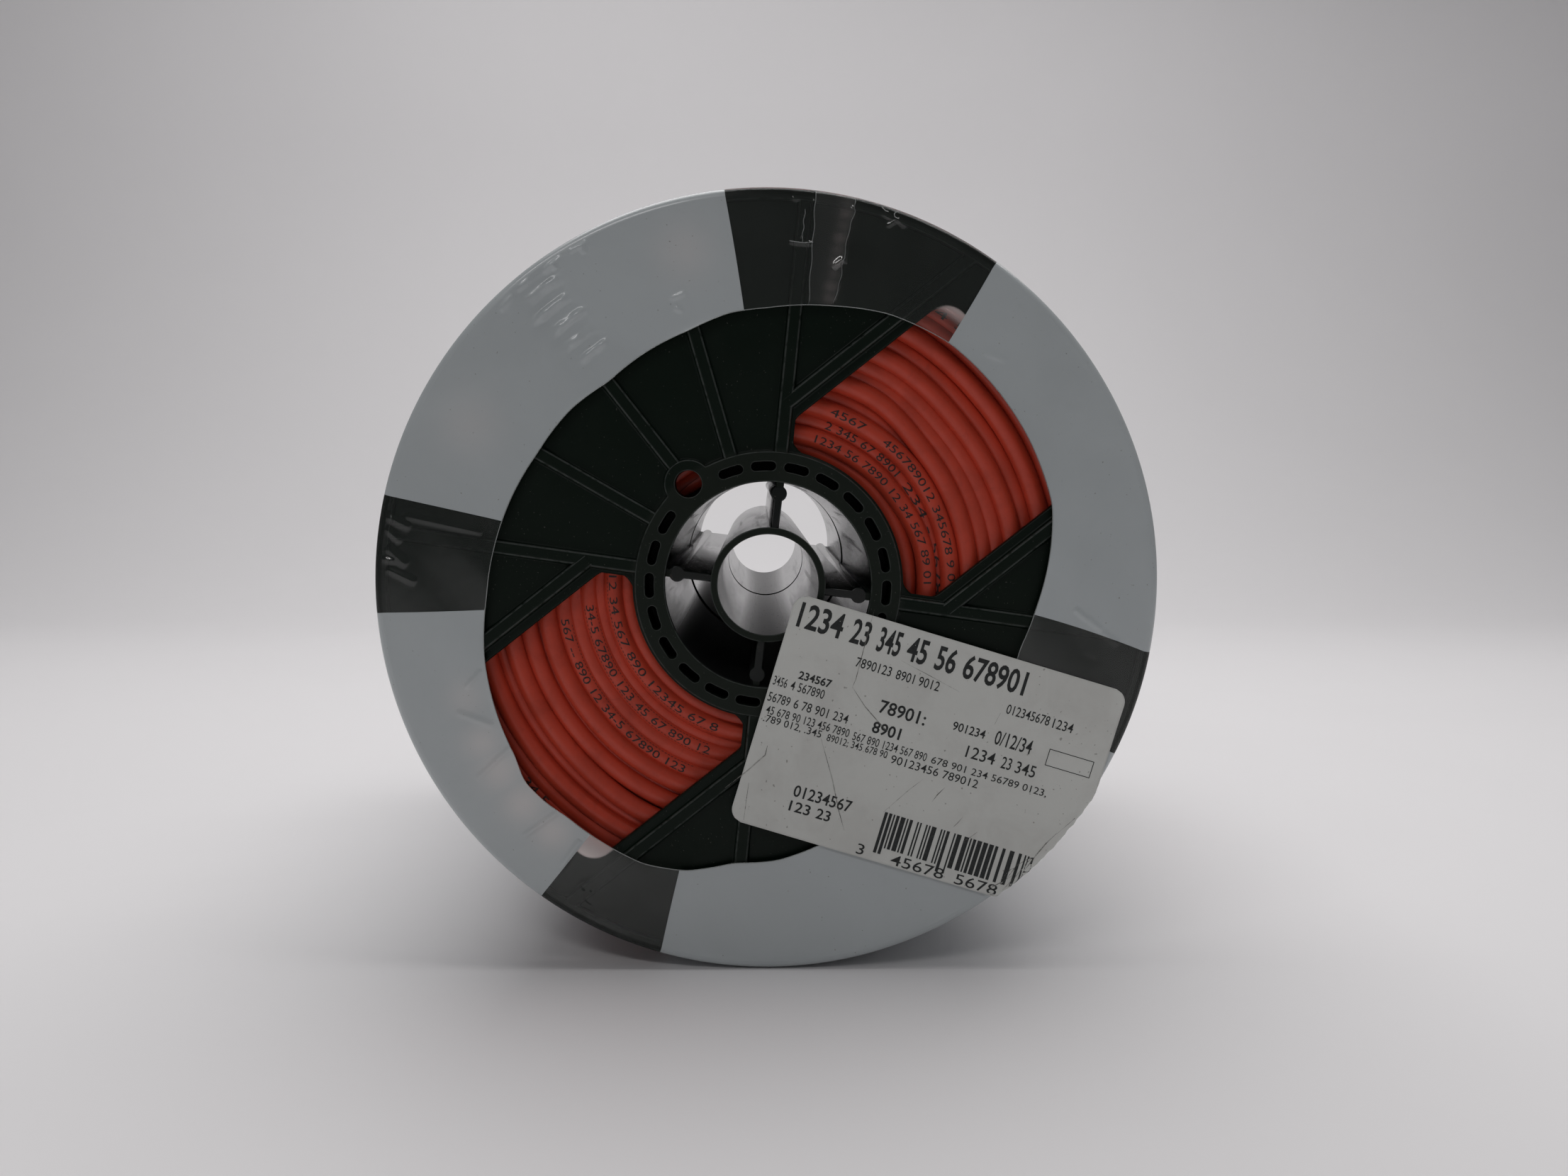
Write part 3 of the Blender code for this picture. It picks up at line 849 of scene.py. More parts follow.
wireJacket = jacketMaterial()
wireInk = plainInk("print on the wire", wire["print"], 0.5)
windingShape = wireWinding()
addOuterLayer(windingShape)
winding = finishShape("wire_winding", windingShape, (wireJacket,), sharp=None)
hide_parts("wire_coil")
printShape = emptyShape()
addWirePrint(printShape)
addDottedLines(printShape)
printing = finishShape("wire_counting_print", printShape, (wireInk,), sharp=None)
stub = finishShape("wire_start_end", startStub(), (wireJacket,), frontPlace, sharp=None)
for piece in (winding, printing, stub):
    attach(piece, "root")
print("wire made")


# Shrink film: printed panels with clear gaps between, folded onto both faces

film = {
    "printed": ((96.3, 95.0, 166.7, 166.4), (184.1, 185.0, 234.0, 234.6), (253.7, 252.8, 334.0, 333.0),
                (350.0, 353.7, 414.8, 413.5)),      # degrees at the rim and at the lip, start and end
    "lip": ((4, 59.3), (16, 62.3), (30, 62.9), (43, 63.1), (53, 63.3), (66, 62.0), (77, 59.8), (90, 57.9),
            (98, 57.4), (107, 55.7), (118, 54.9), (128, 54.0), (138, 55.2), (150, 55.6), (160, 56.7),
            (172, 58.0), (182, 59.2), (195, 61.9), (207, 63.8), (214, 64.8), (219, 66.6), (224, 66.3),
            (229, 65.4), (236, 65.3), (246, 65.3), (254, 63.7), (263, 60.0), (272, 59.0), (282, 56.6),
            (300, 55.5), (325, 55.0), (346, 55.2), (355, 57.0)),
    "corner": 1.6 * mm,
    "waist": 4.0 * mm,
    "rimRun": 5.0 * mm,
    "lipRows": {"printed": 84, "clear": 110, "back": 40}, "sleeveRows": 44,
    "columnStep": {"printed": 0.34, "clear": 0.2, "sleeve": 0.5},
    "cockleAngle": 127.4, "cockleWidth": 3.1, "cockleStep": 4.1 * mm, "cockleHeight": 0.58 * mm,
    "lipBead": 0.10 * mm, "seamBead": 0.085 * mm,
    "panel": (0.44, 0.475, 0.485), "panelGrime": (0.30, 0.31, 0.30), "panelDust": (0.20, 0.19, 0.17),
    "panelCrumpledAndGlare": (0.74, 0.68, 0.66), "clearCrumpledAndGlare": (0.60, 0.50, 0.48),
    # clear skins: cloudiness, how much they mirror towards their edges, how much they cover, and their tone
    "skins": {"clear shrink film": (0.05, 0.7, 0.22, (0.022, 0.034, 0.024)),
              "clear film between the flanges": (0.05, 0.9, 0.09, (0.05, 0.06, 0.05)),
              "overlapped clear film": (0.10, 0.7, 0.18, (0.07, 0.08, 0.07)),
              # the film edge's pale tone is partly a painted highlight
              "film edge and painted glints": (0.20, 1.5, 0.40, (0.42, 0.45, 0.44))},
    "radius": 82.8 * mm,
    # soft pale places, partly crumpled film and partly painted glare and reflection: x, z, size in mm,
    # amount
    "haze": ((-60.5, -33.5, 4.0, 0.42), (-57.0, -39.5, 4.5, 0.50), (-52.0, -46.5, 4.5, 0.54),
             (-46.0, -52.5, 4.2, 0.50), (-64.0, -24.0, 4.0, 0.28), (-17.5, 69.5, 6.0, 0.26),
             (-62.0, 33.5, 6.5, 0.22), (16.4, 79.6, 2.0, 0.07), (16.0, 77.2, 1.9, 0.10),
             (15.5, 74.8, 1.9, 0.08), (14.9, 72.2, 1.9, 0.11), (14.4, 69.7, 1.9, 0.09),
             (14.0, 67.2, 1.8, 0.11), (13.5, 64.8, 1.8, 0.08), (13.0, 62.3, 1.9, 0.11),
             (12.6, 59.8, 1.9, 0.10)),
    # haze and painted glare over the windows' corners, lower left and upper right, near the lip and at the
    # window's end
    "windowHazeAndGlare": ((0.42, 0.70), (0.03, 0.60)),
    # the overlap's two edges, then short beads on creases and the rim whose bright lines are painted glints,
    # and one along the rim's top edge as a painted highlight: x, z in mm
    "seamsAndGlints": (((9.8, 82.0), (9.5, 75.0), (8.9, 67.0), (8.4, 58.6)),
              ((18.0, 80.4), (17.9, 77.6), (16.6, 73.2), (15.6, 67.6), (14.9, 63.2), (13.6, 58.8)),
              ((23.6, 79.1), (23.9, 78.1), (24.8, 77.6)), ((27.0, 78.0), (26.0, 77.0), (26.6, 76.2)),
              ((8.6, 82.0), (12.9, 81.4), (17.1, 80.6), (21.3, 79.6), (25.4, 78.4)),
              ((4.4, 71.6), (7.2, 71.2), (9.2, 71.3)), ((7.6, 78.0), (7.3, 74.5), (7.0, 71.4)),
              ((15.9, 68.2), (14.6, 66.6), (13.2, 66.9))),
}


# A soft ridge on the face from start to end (in mm), fading at both ends
def ridgeHeight(x, z, start, end, width, height):
    sx, sz, ex, ez = (value * mm for value in (*start, *end))
    length = hypot(ex - sx, ez - sz)
    ux, uz = (ex - sx) / length, (ez - sz) / length
    t = (x - sx) * ux + (z - sz) * uz
    off = (x - sx) * uz - (z - sz) * ux
    fade = np.clip(t / length, 0, 1) * np.clip(1 - t / length, 0, 1) * 4
    return height * np.sqrt(fade) * np.exp(-(off / width) ** 2) * ((t > 0) & (t < length))


filmCreases = [
    # start, end in mm from the axle, width and height in mm
    ((-52.0, 61.5), (-49.5, 64.2), 0.6, 0.45), ((-46.5, 65.0), (-43.0, 68.6), 0.6, 0.5),
    ((-45.4, 66.8), (-43.6, 65.6), 0.5, 0.4), ((-41.5, 69.2), (-37.5, 71.6), 0.6, 0.5),
    ((-38.8, 70.9), (-38.0, 68.8), 0.5, 0.4), ((-55.5, 57.0), (-53.0, 60.5), 0.7, 0.35),
    ((5.0, 80.0), (8.5, 82.0), 0.6, 0.5), ((23.0, 78.3), (25.8, 76.0), 0.5, 0.5),
    ((26.0, 77.2), (28.5, 74.5), 0.5, 0.45), ((27.4, 76.6), (24.6, 74.6), 0.4, 0.4),
    ((9.8, 83.0), (8.4, 59.5), 0.35, 0.35), ((4.2, 71.5), (9.5, 71.0), 0.5, 0.3),
    ((7.4, 77.0), (6.8, 72.0), 0.5, 0.3), ((17.8, 79.0), (15.6, 67.0), 0.7, 0.6),
    ((15.5, 68.0), (13.4, 66.2), 0.6, 0.5), ((15.6, 67.0), (13.8, 59.5), 0.5, 0.3),
    ((-79.8, 8.0), (-76.0, 4.0), 0.7, 0.4), ((-80.8, 15.0), (-75.0, 12.0), 0.6, 0.4),
    ((-80.0, 3.5), (-74.0, 0.5), 0.6, 0.35), ((-80.0, 12.0), (-77.0, 9.0), 0.5, 0.4),
    ((-81.0, 5.6), (-78.0, 5.0), 0.5, 0.4), ((-76.0, 14.5), (-60.0, 11.0), 0.5, 0.18),
    ((65.0, -5.0), (68.0, -7.6), 0.5, 0.35), ((68.0, -7.2), (71.0, -9.8), 0.5, 0.35),
    ((71.0, -10.0), (74.5, -12.6), 0.5, 0.35), ((-38.0, -65.8), (-40.0, -63.2), 0.8, -0.4),
    ((-36.6, -68.4), (-39.4, -66.2), 0.8, -0.4), ((-35.0, -71.6), (-38.0, -69.4), 0.8, -0.4),
    ((-62.0, -41.5), (-53.5, -33.5), 0.5, 0.35), ((-52.5, -54.0), (-44.0, -48.0), 0.5, 0.35),
    ((-64.0, -22.0), (-60.5, -18.0), 0.5, 0.3), ((-44.5, -61.0), (-40.0, -54.5), 0.6, 0.4),
    ((-58.0, -30.0), (-66.0, -27.0), 0.6, 0.25), ((45.0, 49.0), (50.0, 47.0), 0.8, 0.2),
    ((-20.5, 59.5), (-17.0, 61.0), 0.5, 0.3), ((-19.5, 58.0), (-17.8, 57.0), 0.5, 0.3),
]


def faceRelief(x, z):  # How far the folded lip stands off its plane
    r, a = np.hypot(x, z), np.arctan2(z, x)
    height = 0.10 * mm * np.sin(5 * a + 2) * np.sin(r * 160) + 0.05 * mm * np.sin(19 * a + r * 300)
    away = np.degrees(a) - film["cockleAngle"] + 0.9 * np.sin(r * 830 + 0.6)
    spread = np.exp(-np.abs(away / film["cockleWidth"]) ** 4)
    spread *= np.clip((r - 59 * mm) / (2 * mm), 0, 1) * np.clip((80 * mm - r) / (2 * mm), 0, 1)
    uneven = 0.8 + 0.35 * np.sin(r * 1100 + 2.2) + 0.25 * np.sin(away * 1.6 + r * 600)
    height += film["cockleHeight"] * spread * uneven * np.cos(2 * pi * (r - 60.8 * mm) / film["cockleStep"])
    for start, end, width, tall in filmCreases:
        height += ridgeHeight(x, z, start, end, width * mm, tall * mm)
    return height


# Points of one row of a panel, its columns between two slanted edges
def filmRow(kind, t, columns, startEdge, endEdge):
    share = 1 - t if kind in ("front", "back") else 0.0
    first = np.interp(share, (0, 1), startEdge)
    last = np.interp(share, (0, 1), endEdge)
    angles = np.radians(np.linspace(first, last, columns))
    edge = periodic(film["lip"], angles) * mm
    corner = film["corner"]
    flat = film["radius"] - corner
    if kind in ("front", "back"):
        radii = edge + (flat - edge) * t
        curl = 0.35 * mm * np.exp(-(radii - edge) / (0.9 * mm)) * (0.6 + 0.4 * np.sin(11 * angles))
        relief = faceRelief(radii * np.cos(angles), radii * np.sin(angles))
        out = np.maximum(curl + (relief if kind == "front" else 0.6 * relief[::-1]), -0.12 * mm)
        out *= np.clip((flat - radii) / (1.0 * mm), 0, 1)
    elif kind in ("frontCorner", "backCorner"):
        radii = np.full_like(angles, flat + corner * sin(t * pi / 2))
        out = np.full_like(angles, -corner * (1 - cos(t * pi / 2)))
    else:
        y = (2 * t - 1) * (halfLength - corner)
        run = halfLength - film["rimRun"]
        drawn = film["waist"] * max(0.0, 1 - (y / run) ** 2)
        slack = 0.25 * mm * np.sin(23 * angles + 3 * sin(40 * y)) + 0.12 * mm * np.sin(61 * angles + y * 90)
        radii = film["radius"] - drawn + slack * min(1.0, drawn / (1.5 * mm))
        return angles, radii, np.full_like(angles, middleY + y)
    skin = 0.25 * mm
    if kind.startswith("front"):
        return angles, radii, frontFace - skin - out
    return angles, radii, backFace + skin + out


def lipRows(count):
    return [("front", k / count) for k in range(count + 1)]


def sleeveRows():
    rows = [("frontCorner", k / 5) for k in range(6)]
    rows += [("sleeve", k / film["sleeveRows"]) for k in range(1, film["sleeveRows"])]
    rows += [("backCorner", k / 5) for k in range(5, -1, -1)]
    return rows + [("back", k / film["lipRows"]["back"]) for k in range(film["lipRows"]["back"] - 1, -1, -1)]


def addFilmPanel(shape, rows, step, startEdge, endEdge, slot=0):
    columns = max(4, ceil((endEdge[0] - startEdge[0]) / step)) + 1
    grid = []
    for kind, t in rows:
        angles, radii, ys = filmRow(kind, t, columns, startEdge, endEdge)
        grid.append(list(zip(radii * np.cos(angles), ys, axisHeight + radii * np.sin(angles))))
    addGrid(shape, grid, slot=slot)


def filmPanels():  # Start and end edges of each panel in turn, printed and clear
    panels = []
    for k, (rimStart, lipStart, rimEnd, lipEnd) in enumerate(film["printed"]):
        nextRim, nextLip = film["printed"][(k + 1) % 4][:2]
        wrap = 360 if nextRim < rimEnd - 300 else 0
        panels.append(("printed", (rimStart, lipStart), (rimEnd, lipEnd)))
        panels.append(("clear", (rimEnd, lipEnd), (nextRim + wrap, nextLip + wrap)))
    return panels


def overWindow(x, z):  # 1 where a place on the face lies over one of the two windows, 0 outside
    c, half, outer = flange["windowCorner"], flange["windowHalf"], flange["windowOuter"]
    along = np.abs(x * cos(faceTurn) + z * sin(faceTurn))
    across = np.abs(z * cos(faceTurn) - x * sin(faceTurn))
    far = sqrt((outer - c) ** 2 - (half - c) ** 2)
    inside = np.minimum(outer - np.hypot(x, z), half - across)
    corner = (across > half - c) & (along > far)
    inside = np.where(corner, c - np.hypot(along - far, across - half + c), inside)
    return np.clip(0.5 + inside / (0.5 * mm), 0, 1)


def paintHazeAndGlare(item, windows):
    mesh = item.data
    places = np.empty(len(mesh.vertices) * 3)
    mesh.vertices.foreach_get("co", places)
    x, y, z = places.reshape(-1, 3).T
    z = z - axisHeight
    haze = np.zeros(len(x))
    if windows:
        for side, (low, high) in zip((x < 0, x > 0), film["windowHazeAndGlare"]):
            outward = np.clip((np.hypot(x, z) - 66.5 * mm) / (3 * mm), 0, 1) ** 1.5
            haze += (low + (high - low) * outward) * side * overWindow(x, z)
    for spotX, spotZ, size, amount in film["haze"]:
        off = np.hypot(x - spotX * mm, z - spotZ * mm) / (size * mm)
        haze = np.maximum(haze, amount * np.exp(-off ** 2))
    # the attribute holds film haze where crumpled, and painted glare and reflection
    mesh.attributes.new("haze", "FLOAT", "POINT").data.foreach_set("value", haze * (y < middleY))


def hazeAndGlareNode(tree):
    node = tree.nodes.new("ShaderNodeAttribute")
    node.attribute_name = "haze"
    return node.outputs["Fac"]


def printedFilm():
    material, tree, shader = newMaterial("printed shrink film", {"Coat Roughness": 0.13})
    cloud = place(tree, smudges, Size=28.0, Low=0.30, High=0.75)
    grime = place(tree, smudges, Size=160.0, Low=0.62, High=0.86)
    dust = place(tree, dustSpecks, Density=0.5, Grain=1500.0)
    color = mixColor(tree, cloud, film["panel"], tuple(1.07 * c for c in film["panel"]))
    color = mixColor(tree, mathNode(tree, "MULTIPLY", grime, 0.35), color, film["panelGrime"])
    # paler where the film is crumpled, and painted glare and reflection
    color = mixColor(tree, hazeAndGlareNode(tree), color, film["panelCrumpledAndGlare"])
    color = mixColor(tree, mathNode(tree, "MULTIPLY", dust, 0.7), color, film["panelDust"])
    tree.links.new(color, shader.inputs["Base Color"])
    tree.links.new(mixValue(tree, cloud, 0.30, 0.42), shader.inputs["Roughness"])
    tree.links.new(mixValue(tree, cloud, 0.75, 0.55), shader.inputs["Coat Weight"])
    addBump(tree, shader, noiseNode(tree, 260.0, 3.0, 0.5), 0.02 * mm)
    return material


# A thin clear skin. It covers more than a real one, but is darker and mirrors more, for the same tone
def clearFilm(name):
    haze, mirror, cover, tone = film["skins"][name]
    material, tree, shader = newMaterial(name, {"IOR": 2.6})
    fresnel = tree.nodes.new("ShaderNodeFresnel")
    fresnel.inputs["IOR"].default_value = 1.55
    cloud = place(tree, smudges, Size=60.0, Low=0.35, High=0.80)
    painted = hazeAndGlareNode(tree)
    veil = mathNode(tree, "ADD", mathNode(tree, "MULTIPLY_ADD", cloud, haze, cover), painted)
    mirrored = mathNode(tree, "MULTIPLY", fresnel.outputs["Fac"], mirror)
    tree.links.new(mathNode(tree, "ADD", mirrored, veil, clamp=True), shader.inputs["Alpha"])
    # whiter where the film is crumpled, and painted glare and reflection
    white = stepNode(tree, painted, 0.0, 0.30)
    tree.links.new(mixColor(tree, white, tone, film["clearCrumpledAndGlare"]), shader.inputs["Base Color"])
    tree.links.new(mixValue(tree, cloud, 0.08, 0.22), shader.inputs["Roughness"])
    addBump(tree, shader, noiseNode(tree, 110.0, 2.0, 0.5, distortion=0.3), 0.08 * mm)
    return material


def roundRim(x, z):  # How far a place on the film has turned back over the rim
    past = np.clip((np.hypot(x, z) - film["radius"] + film["corner"]) / film["corner"], 0, 0.97)
    return film["corner"] * (1 - np.sqrt(1 - past ** 2))


def addBead(shape, x, z, y, size, closed=False):
    centers = np.stack([x, y, z + axisHeight], 1)
    run = np.gradient(centers, axis=0)
    if closed:
        run = np.roll(centers, -1, 0) - np.roll(centers, 1, 0)
    run /= np.linalg.norm(run, axis=1)[:, None]
    sides = np.tile([0.0, -1.0, 0.0], (len(x), 1))
    addTube(shape, centers, np.cross(run, sides), sides, size, 5, closed)


def alongSeam(points, steps):  # x and z, in mm, at steps counted along the points
    return [np.interp(steps, range(len(points)), [point[k] for point in points]) for k in (0, 1)]


# Fine bright beads along both lips and the overlap, where the cut film shows its thickness, and on creases
# and the rim as painted glints; their pale tone is partly a painted highlight
def filmEdgesAndGlints():
    shape = emptyShape()
    for kind in ("front", "back"):
        angles, radii, ys = filmRow(kind, 0.0, 1080, (0, 0), (359.667, 359.667))
        addBead(shape, radii * np.cos(angles), radii * np.sin(angles), ys, film["lipBead"], closed=True)
    for points in film["seamsAndGlints"]:
        steps = np.linspace(0, len(points) - 1, 12 * len(points))
        x, z = (values * mm for values in alongSeam(points, steps))
        wander = 0.12 * mm * np.sin(steps * 7.3)
        lift = faceRelief(x, z) + 0.30 * mm
        addBead(shape, x + wander, z, frontFace - lift + roundRim(x, z), film["seamBead"])
    return shape


# The second layer of film where its ends overlap
def overlapStrip():
    shape = emptyShape()
    rows = []
    for t in np.linspace(0, 1, 60):
        edges = [alongSeam(seam, t * (len(seam) - 1)) for seam in film["seamsAndGlints"][:2]]
        row = []
        for s in np.linspace(0, 1, 24):
            x, z = ((1 - s) * left + s * right for left, right in zip(*edges))
            z = min(z, sqrt(82.5 ** 2 - x * x))
            lift = faceRelief(x * mm, z * mm) + (0.36 + 0.10 * s * sin(9 * t + 3 * s) + 0.25 * s ** 6) * mm
            row.append((x * mm, frontFace - lift + roundRim(x * mm, z * mm), axisHeight + z * mm))
        rows.append(row)
    addGrid(shape, rows)
    return shape


panelFilm = printedFilm()
skinFilm, sleeveFilm, overlapFilm, beadAndGlintFilm = (clearFilm(name) for name in film["skins"])
shapes = {"printed": emptyShape(), "clear": emptyShape(), "sleeve": emptyShape()}
for kind, startEdge, endEdge in filmPanels():
    step, sleeveStep = film["columnStep"][kind], film["columnStep"]["sleeve"]
    addFilmPanel(shapes[kind], lipRows(film["lipRows"][kind]), step, startEdge, endEdge)
    addFilmPanel(shapes["sleeve"], sleeveRows(), sleeveStep, startEdge, endEdge, int(kind == "clear"))
sleeve = finishShape("film_sleeve", shapes["sleeve"], (panelFilm, sleeveFilm), weld=0.002 * mm, sharp=None)
filmPieces = [sleeve,
              finishShape("film_printed_lips", shapes["printed"], (panelFilm,), sharp=None),
              finishShape("film_clear_lips", shapes["clear"], (skinFilm,), sharp=None),
              finishShape("film_edges_and_glints", filmEdgesAndGlints(), (beadAndGlintFilm,), sharp=None),
              finishShape("film_overlap", overlapStrip(), (overlapFilm,), sharp=None)]
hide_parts("shrink_film")
for piece in filmPieces:
    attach(piece, "root")
    paintHazeAndGlare(piece, windows=piece.name.startswith("film_clear"))
print("film made")


# Paper label across the lower right of the face, folded back round the rim

label = {
    "width": 73.6 * mm, "height": 50.4 * mm, "turn": radians(-16.8), "middle": (34.1 * mm, -36.3 * mm),
    "corner": 3.0 * mm, "bendRadius": 0.9 * mm, "step": 0.55 * mm,
    "paper": (0.655, 0.665, 0.635), "soil": (0.56, 0.56, 0.535), "spots": (0.38, 0.37, 0.34),
    # the crease colour on the next line is painted shade along the creases
    "dust": (0.18, 0.17, 0.15), "creaseShade": (0.20, 0.195, 0.18), "ink": (0.016, 0.018, 0.018),
    # the back of the label is painted dark, as shade
    "shadedBack": (0.060, 0.060, 0.055), "thickness": 0.12 * mm,
    # an empty box and a row of bars, in mm from the label's middle
    "box": (24.4, 5.2, 34.4, 8.9), "boxLine": 0.16,
    "bars": {"start": -5.2, "end": 28.0, "top": -14.2, "foot": -21.8, "guardFoot": -23.3,
             "guards": (0, 1, 14, 15), "tilt": -0.012},
}
foldRadius = film["radius"] + 0.4 * mm - label["bendRadius"]

labelCreases = [
    # points in mm from the label's middle, width in mm, depth in mm
    (((-20.2, 26.5), (-19.9, 17.9), (-19.6, 11.2), (-19.8, 9.4)), 0.16, 0.08),
    (((-19.8, 9.4), (-16.0, 6.2), (-12.2, 3.8), (-9.4, 2.2)), 0.20, 0.10),
    (((-22.9, -3.1), (-18.1, -10.7), (-14.8, -16.8), (-12.4, -20.6)), 0.22, 0.12),
    (((-33.4, -7.7), (-33.3, -9.8), (-36.0, -14.2), (-39.4, -19.0)), 0.26, 0.12),
    (((-34.9, -16.5), (-34.3, -20.4), (-33.6, -24.6)), 0.16, 0.06),
    (((5.4, -5.6), (4.4, -7.4), (3.7, -9.3)), 0.22, 0.08),
    (((11.0, -10.5), (10.4, -11.9), (9.7, -13.2)), 0.20, 0.08),
    (((23.3, -5.1), (23.5, -5.9)), 0.22, 0.05),
    (((0.4, -5.2), (-2.0, -8.6), (-5.6, -14.4)), 0.12, 0.06),
    (((12.0, 13.2), (11.5, 10.4)), 0.18, 0.05),
    (((-11.5, 17.8), (-4.5, 16.4), (2.2, 15.0)), 0.12, 0.05),
    (((15.0, -12.7), (13.8, -14.3), (12.6, -15.6)), 0.18, 0.08),
    (((31.4, -8.0), (29.8, -10.8), (28.4, -14.0), (26.6, -19.2)), 0.24, 0.14),
    (((29.2, -12.4), (27.2, -15.8), (25.6, -19.8), (23.9, -23.2)), 0.20, 0.14),
    (((27.6, -14.6), (25.2, -17.2), (24.0, -20.6)), 0.26, 0.12),
    (((26.6, -17.0), (24.2, -18.4), (22.4, -22.4)), 0.18, 0.10),
    (((25.8, -18.6), (23.2, -21.6), (20.6, -24.2)), 0.22, 0.10),
    (((38.0, 3.0), (34.0, -4.0), (31.4, -8.2)), 0.12, 0.05),
]


def labelHalfWidth(v):
    c = label["corner"]
    past = max(0.0, abs(v) - (label["height"] / 2 - c))
    return label["width"] / 2 - c + sqrt(max(0.0, c * c - past * past))


def labelPlace(u, v):  # x and z of a point of the flat label
    t = label["turn"]
    return label["middle"][0] + u * cos(t) - v * sin(t), label["middle"][1] + u * sin(t) + v * cos(t)


def labelRelief(u, v):  # Slight cockling of the paper: it crumples near the rim and lifts along its creases
    height = 0.05 * mm * sin(u * 210 + 1) * sin(v * 260) + 0.04 * mm * sin(u * 95 + v * 120)
    x, z = labelPlace(u, v)
    nearRim = min(1.0, max(0.0, (hypot(x, z) - 79.5 * mm) / (2.5 * mm)))
    crumple = sin(u * 1900 + 3 * sin(v * 700)) * sin(v * 1500) + 0.6 * sin(u * 3100 + v * 900)
    height += 0.10 * mm * nearRim * crumple
    for points, _, depth in labelCreases:
        for (au, av), (bu, bv) in zip(points, points[1:]):
            du, dv = (bu - au) * mm, (bv - av) * mm
            t = ((u - au * mm) * du + (v - av * mm) * dv) / (du * du + dv * dv)
            t = min(1.0, max(0.0, t))
            off = hypot(u - au * mm - t * du, v - av * mm - t * dv)
            height += depth * mm * np.exp(-(off / (0.7 * mm)) ** 2) * 0.6
    return height


# A point of the label, u along it and v up it, laid flat and then bent back round the rim
def onLabel(u, v, lift=0.0):
    x, z = labelPlace(u, v)
    r, a = hypot(x, z), atan2(z, x)
    bend = label["bendRadius"]
    past = r - foldRadius
    flat = labelFront + 0.16 * mm
    if past <= 0:
        return (x, flat - lift, axisHeight + z)
    turned = min(past / bend, pi / 2)
    further = max(0.0, past - bend * pi / 2)
    out = foldRadius + (bend + lift) * sin(turned)
    y = flat + bend - (bend + lift) * cos(turned) + further
    return (out * cos(a), y, axisHeight + out * sin(a))


def labelSheet():
    shape = emptyShape()
    rows = ceil(label["height"] / label["step"])
    columns = ceil(label["width"] / label["step"])
    grid = []
    for i in range(rows + 1):
        v = label["height"] * i / rows - label["height"] / 2
        v = max(-label["height"] / 2 + 0.02 * mm, min(label["height"] / 2 - 0.02 * mm, v))
        half = labelHalfWidth(v)
        row = []
        for j in range(columns + 1):
            u = half * (2 * j / columns - 1)
            row.append(onLabel(u, v, labelRelief(u, v)))
        grid.append(row)
    addGrid(shape, grid)
    return shape


def labelInk(lift=0.03 * mm):
    return lambda u, v: onLabel(u, v, labelRelief(u, v) + lift)


labelLines = [
    # left, baseline, height, length in mm, digits, boldness
    (-35.1, 18.3, 5.5, 9.8, "####", 0.020), (-23.4, 18.3, 5.4, 4.0, "##", 0.020),
    (-17.5, 18.2, 5.4, 5.0, "###", 0.020), (-11.0, 18.1, 5.4, 4.4, "##", 0.020),
    (-4.6, 18.0, 5.4, 4.4, "##", 0.020), (1.6, 17.9, 5.4, 13.8, "######", 0.020),
    (-20.6, 13.8, 2.1, 7.8, "#######", 0.004), (-11.7, 13.7, 2.1, 4.0, "####", 0.004),
    (-6.7, 13.7, 2.1, 4.6, "####", 0.004), (13.0, 13.4, 2.1, 9.6, "#########", 0.004),
    (23.4, 13.3, 2.1, 4.5, "####", 0.004), (-31.4, 7.8, 1.8, 7.2, "######", 0.022),
    (-36.2, 5.1, 2.0, 3.0, "####", 0.002), (-32.4, 5.1, 2.0, 7.4, "# ######", 0.002),
    (-36.3, 1.5, 2.0, 4.8, "#####", 0.002), (-30.6, 1.5, 2.0, 12.0, "# ## ### ###", 0.002),
    (-13.0, 5.8, 2.9, 10.2, "#####:", 0.014), (-13.2, 1.3, 2.6, 6.2, "####", 0.020),
    (3.1, 6.8, 1.9, 7.2, "######", 0.010), (12.5, 6.4, 3.1, 8.2, "#/##/##", 0.008),
    (7.5, 2.0, 2.6, 6.4, "####", 0.004), (15.4, 1.9, 2.6, 2.2, "##", 0.004),
    (18.6, 1.8, 2.6, 4.4, "###", 0.004), (-35.9, -1.2, 1.8, 18.4, "## ### ## ### ### ####", 0.002),
    (-16.6, -1.4, 1.8, 16.4, "### ### #### ### ###", 0.002),
    (0.9, -1.6, 1.8, 25.8, "### ### ### ##### ####,", 0.002),
    (-35.9, -3.2, 1.8, 12.8, ".### ###, .###", 0.002), (-21.8, -3.4, 1.8, 13.4, "#####; ### ### ##", 0.002),
    (-7.4, -3.8, 1.8, 19.4, "######## ######", 0.002), (-25.2, -16.6, 2.6, 12.8, "########", 0.012),
    (-25.2, -19.8, 2.3, 4.6, "###", 0.012), (-19.2, -19.8, 2.3, 3.1, "##", 0.012),
    (-8.7, -24.6, 2.3, 1.6, "#", 0.002), (-1.0, -24.8, 2.3, 11.8, "#####", 0.002),
    (13.4, -24.9, 2.3, 9.4, "####", 0.002),
]


def addBars(shape, surface):  # A made-up row of bars
    bars = label["bars"]
    chance = random.Random(7)
    u, count = bars["start"], 0
    while u < bars["end"]:
        wide = chance.choice((0.33, 0.33, 0.66, 0.66, 1.0, 1.3))
        slope = bars["tilt"] * (u - bars["start"])
        low = bars["guardFoot" if count in bars["guards"] else "foot"] + slope
        addPatch(shape, (u * mm, low * mm), ((u + wide) * mm, (bars["top"] + slope) * mm), surface, (1, 12))
        u += wide + chance.choice((0.33, 0.33, 0.66, 1.0))
        count += 1


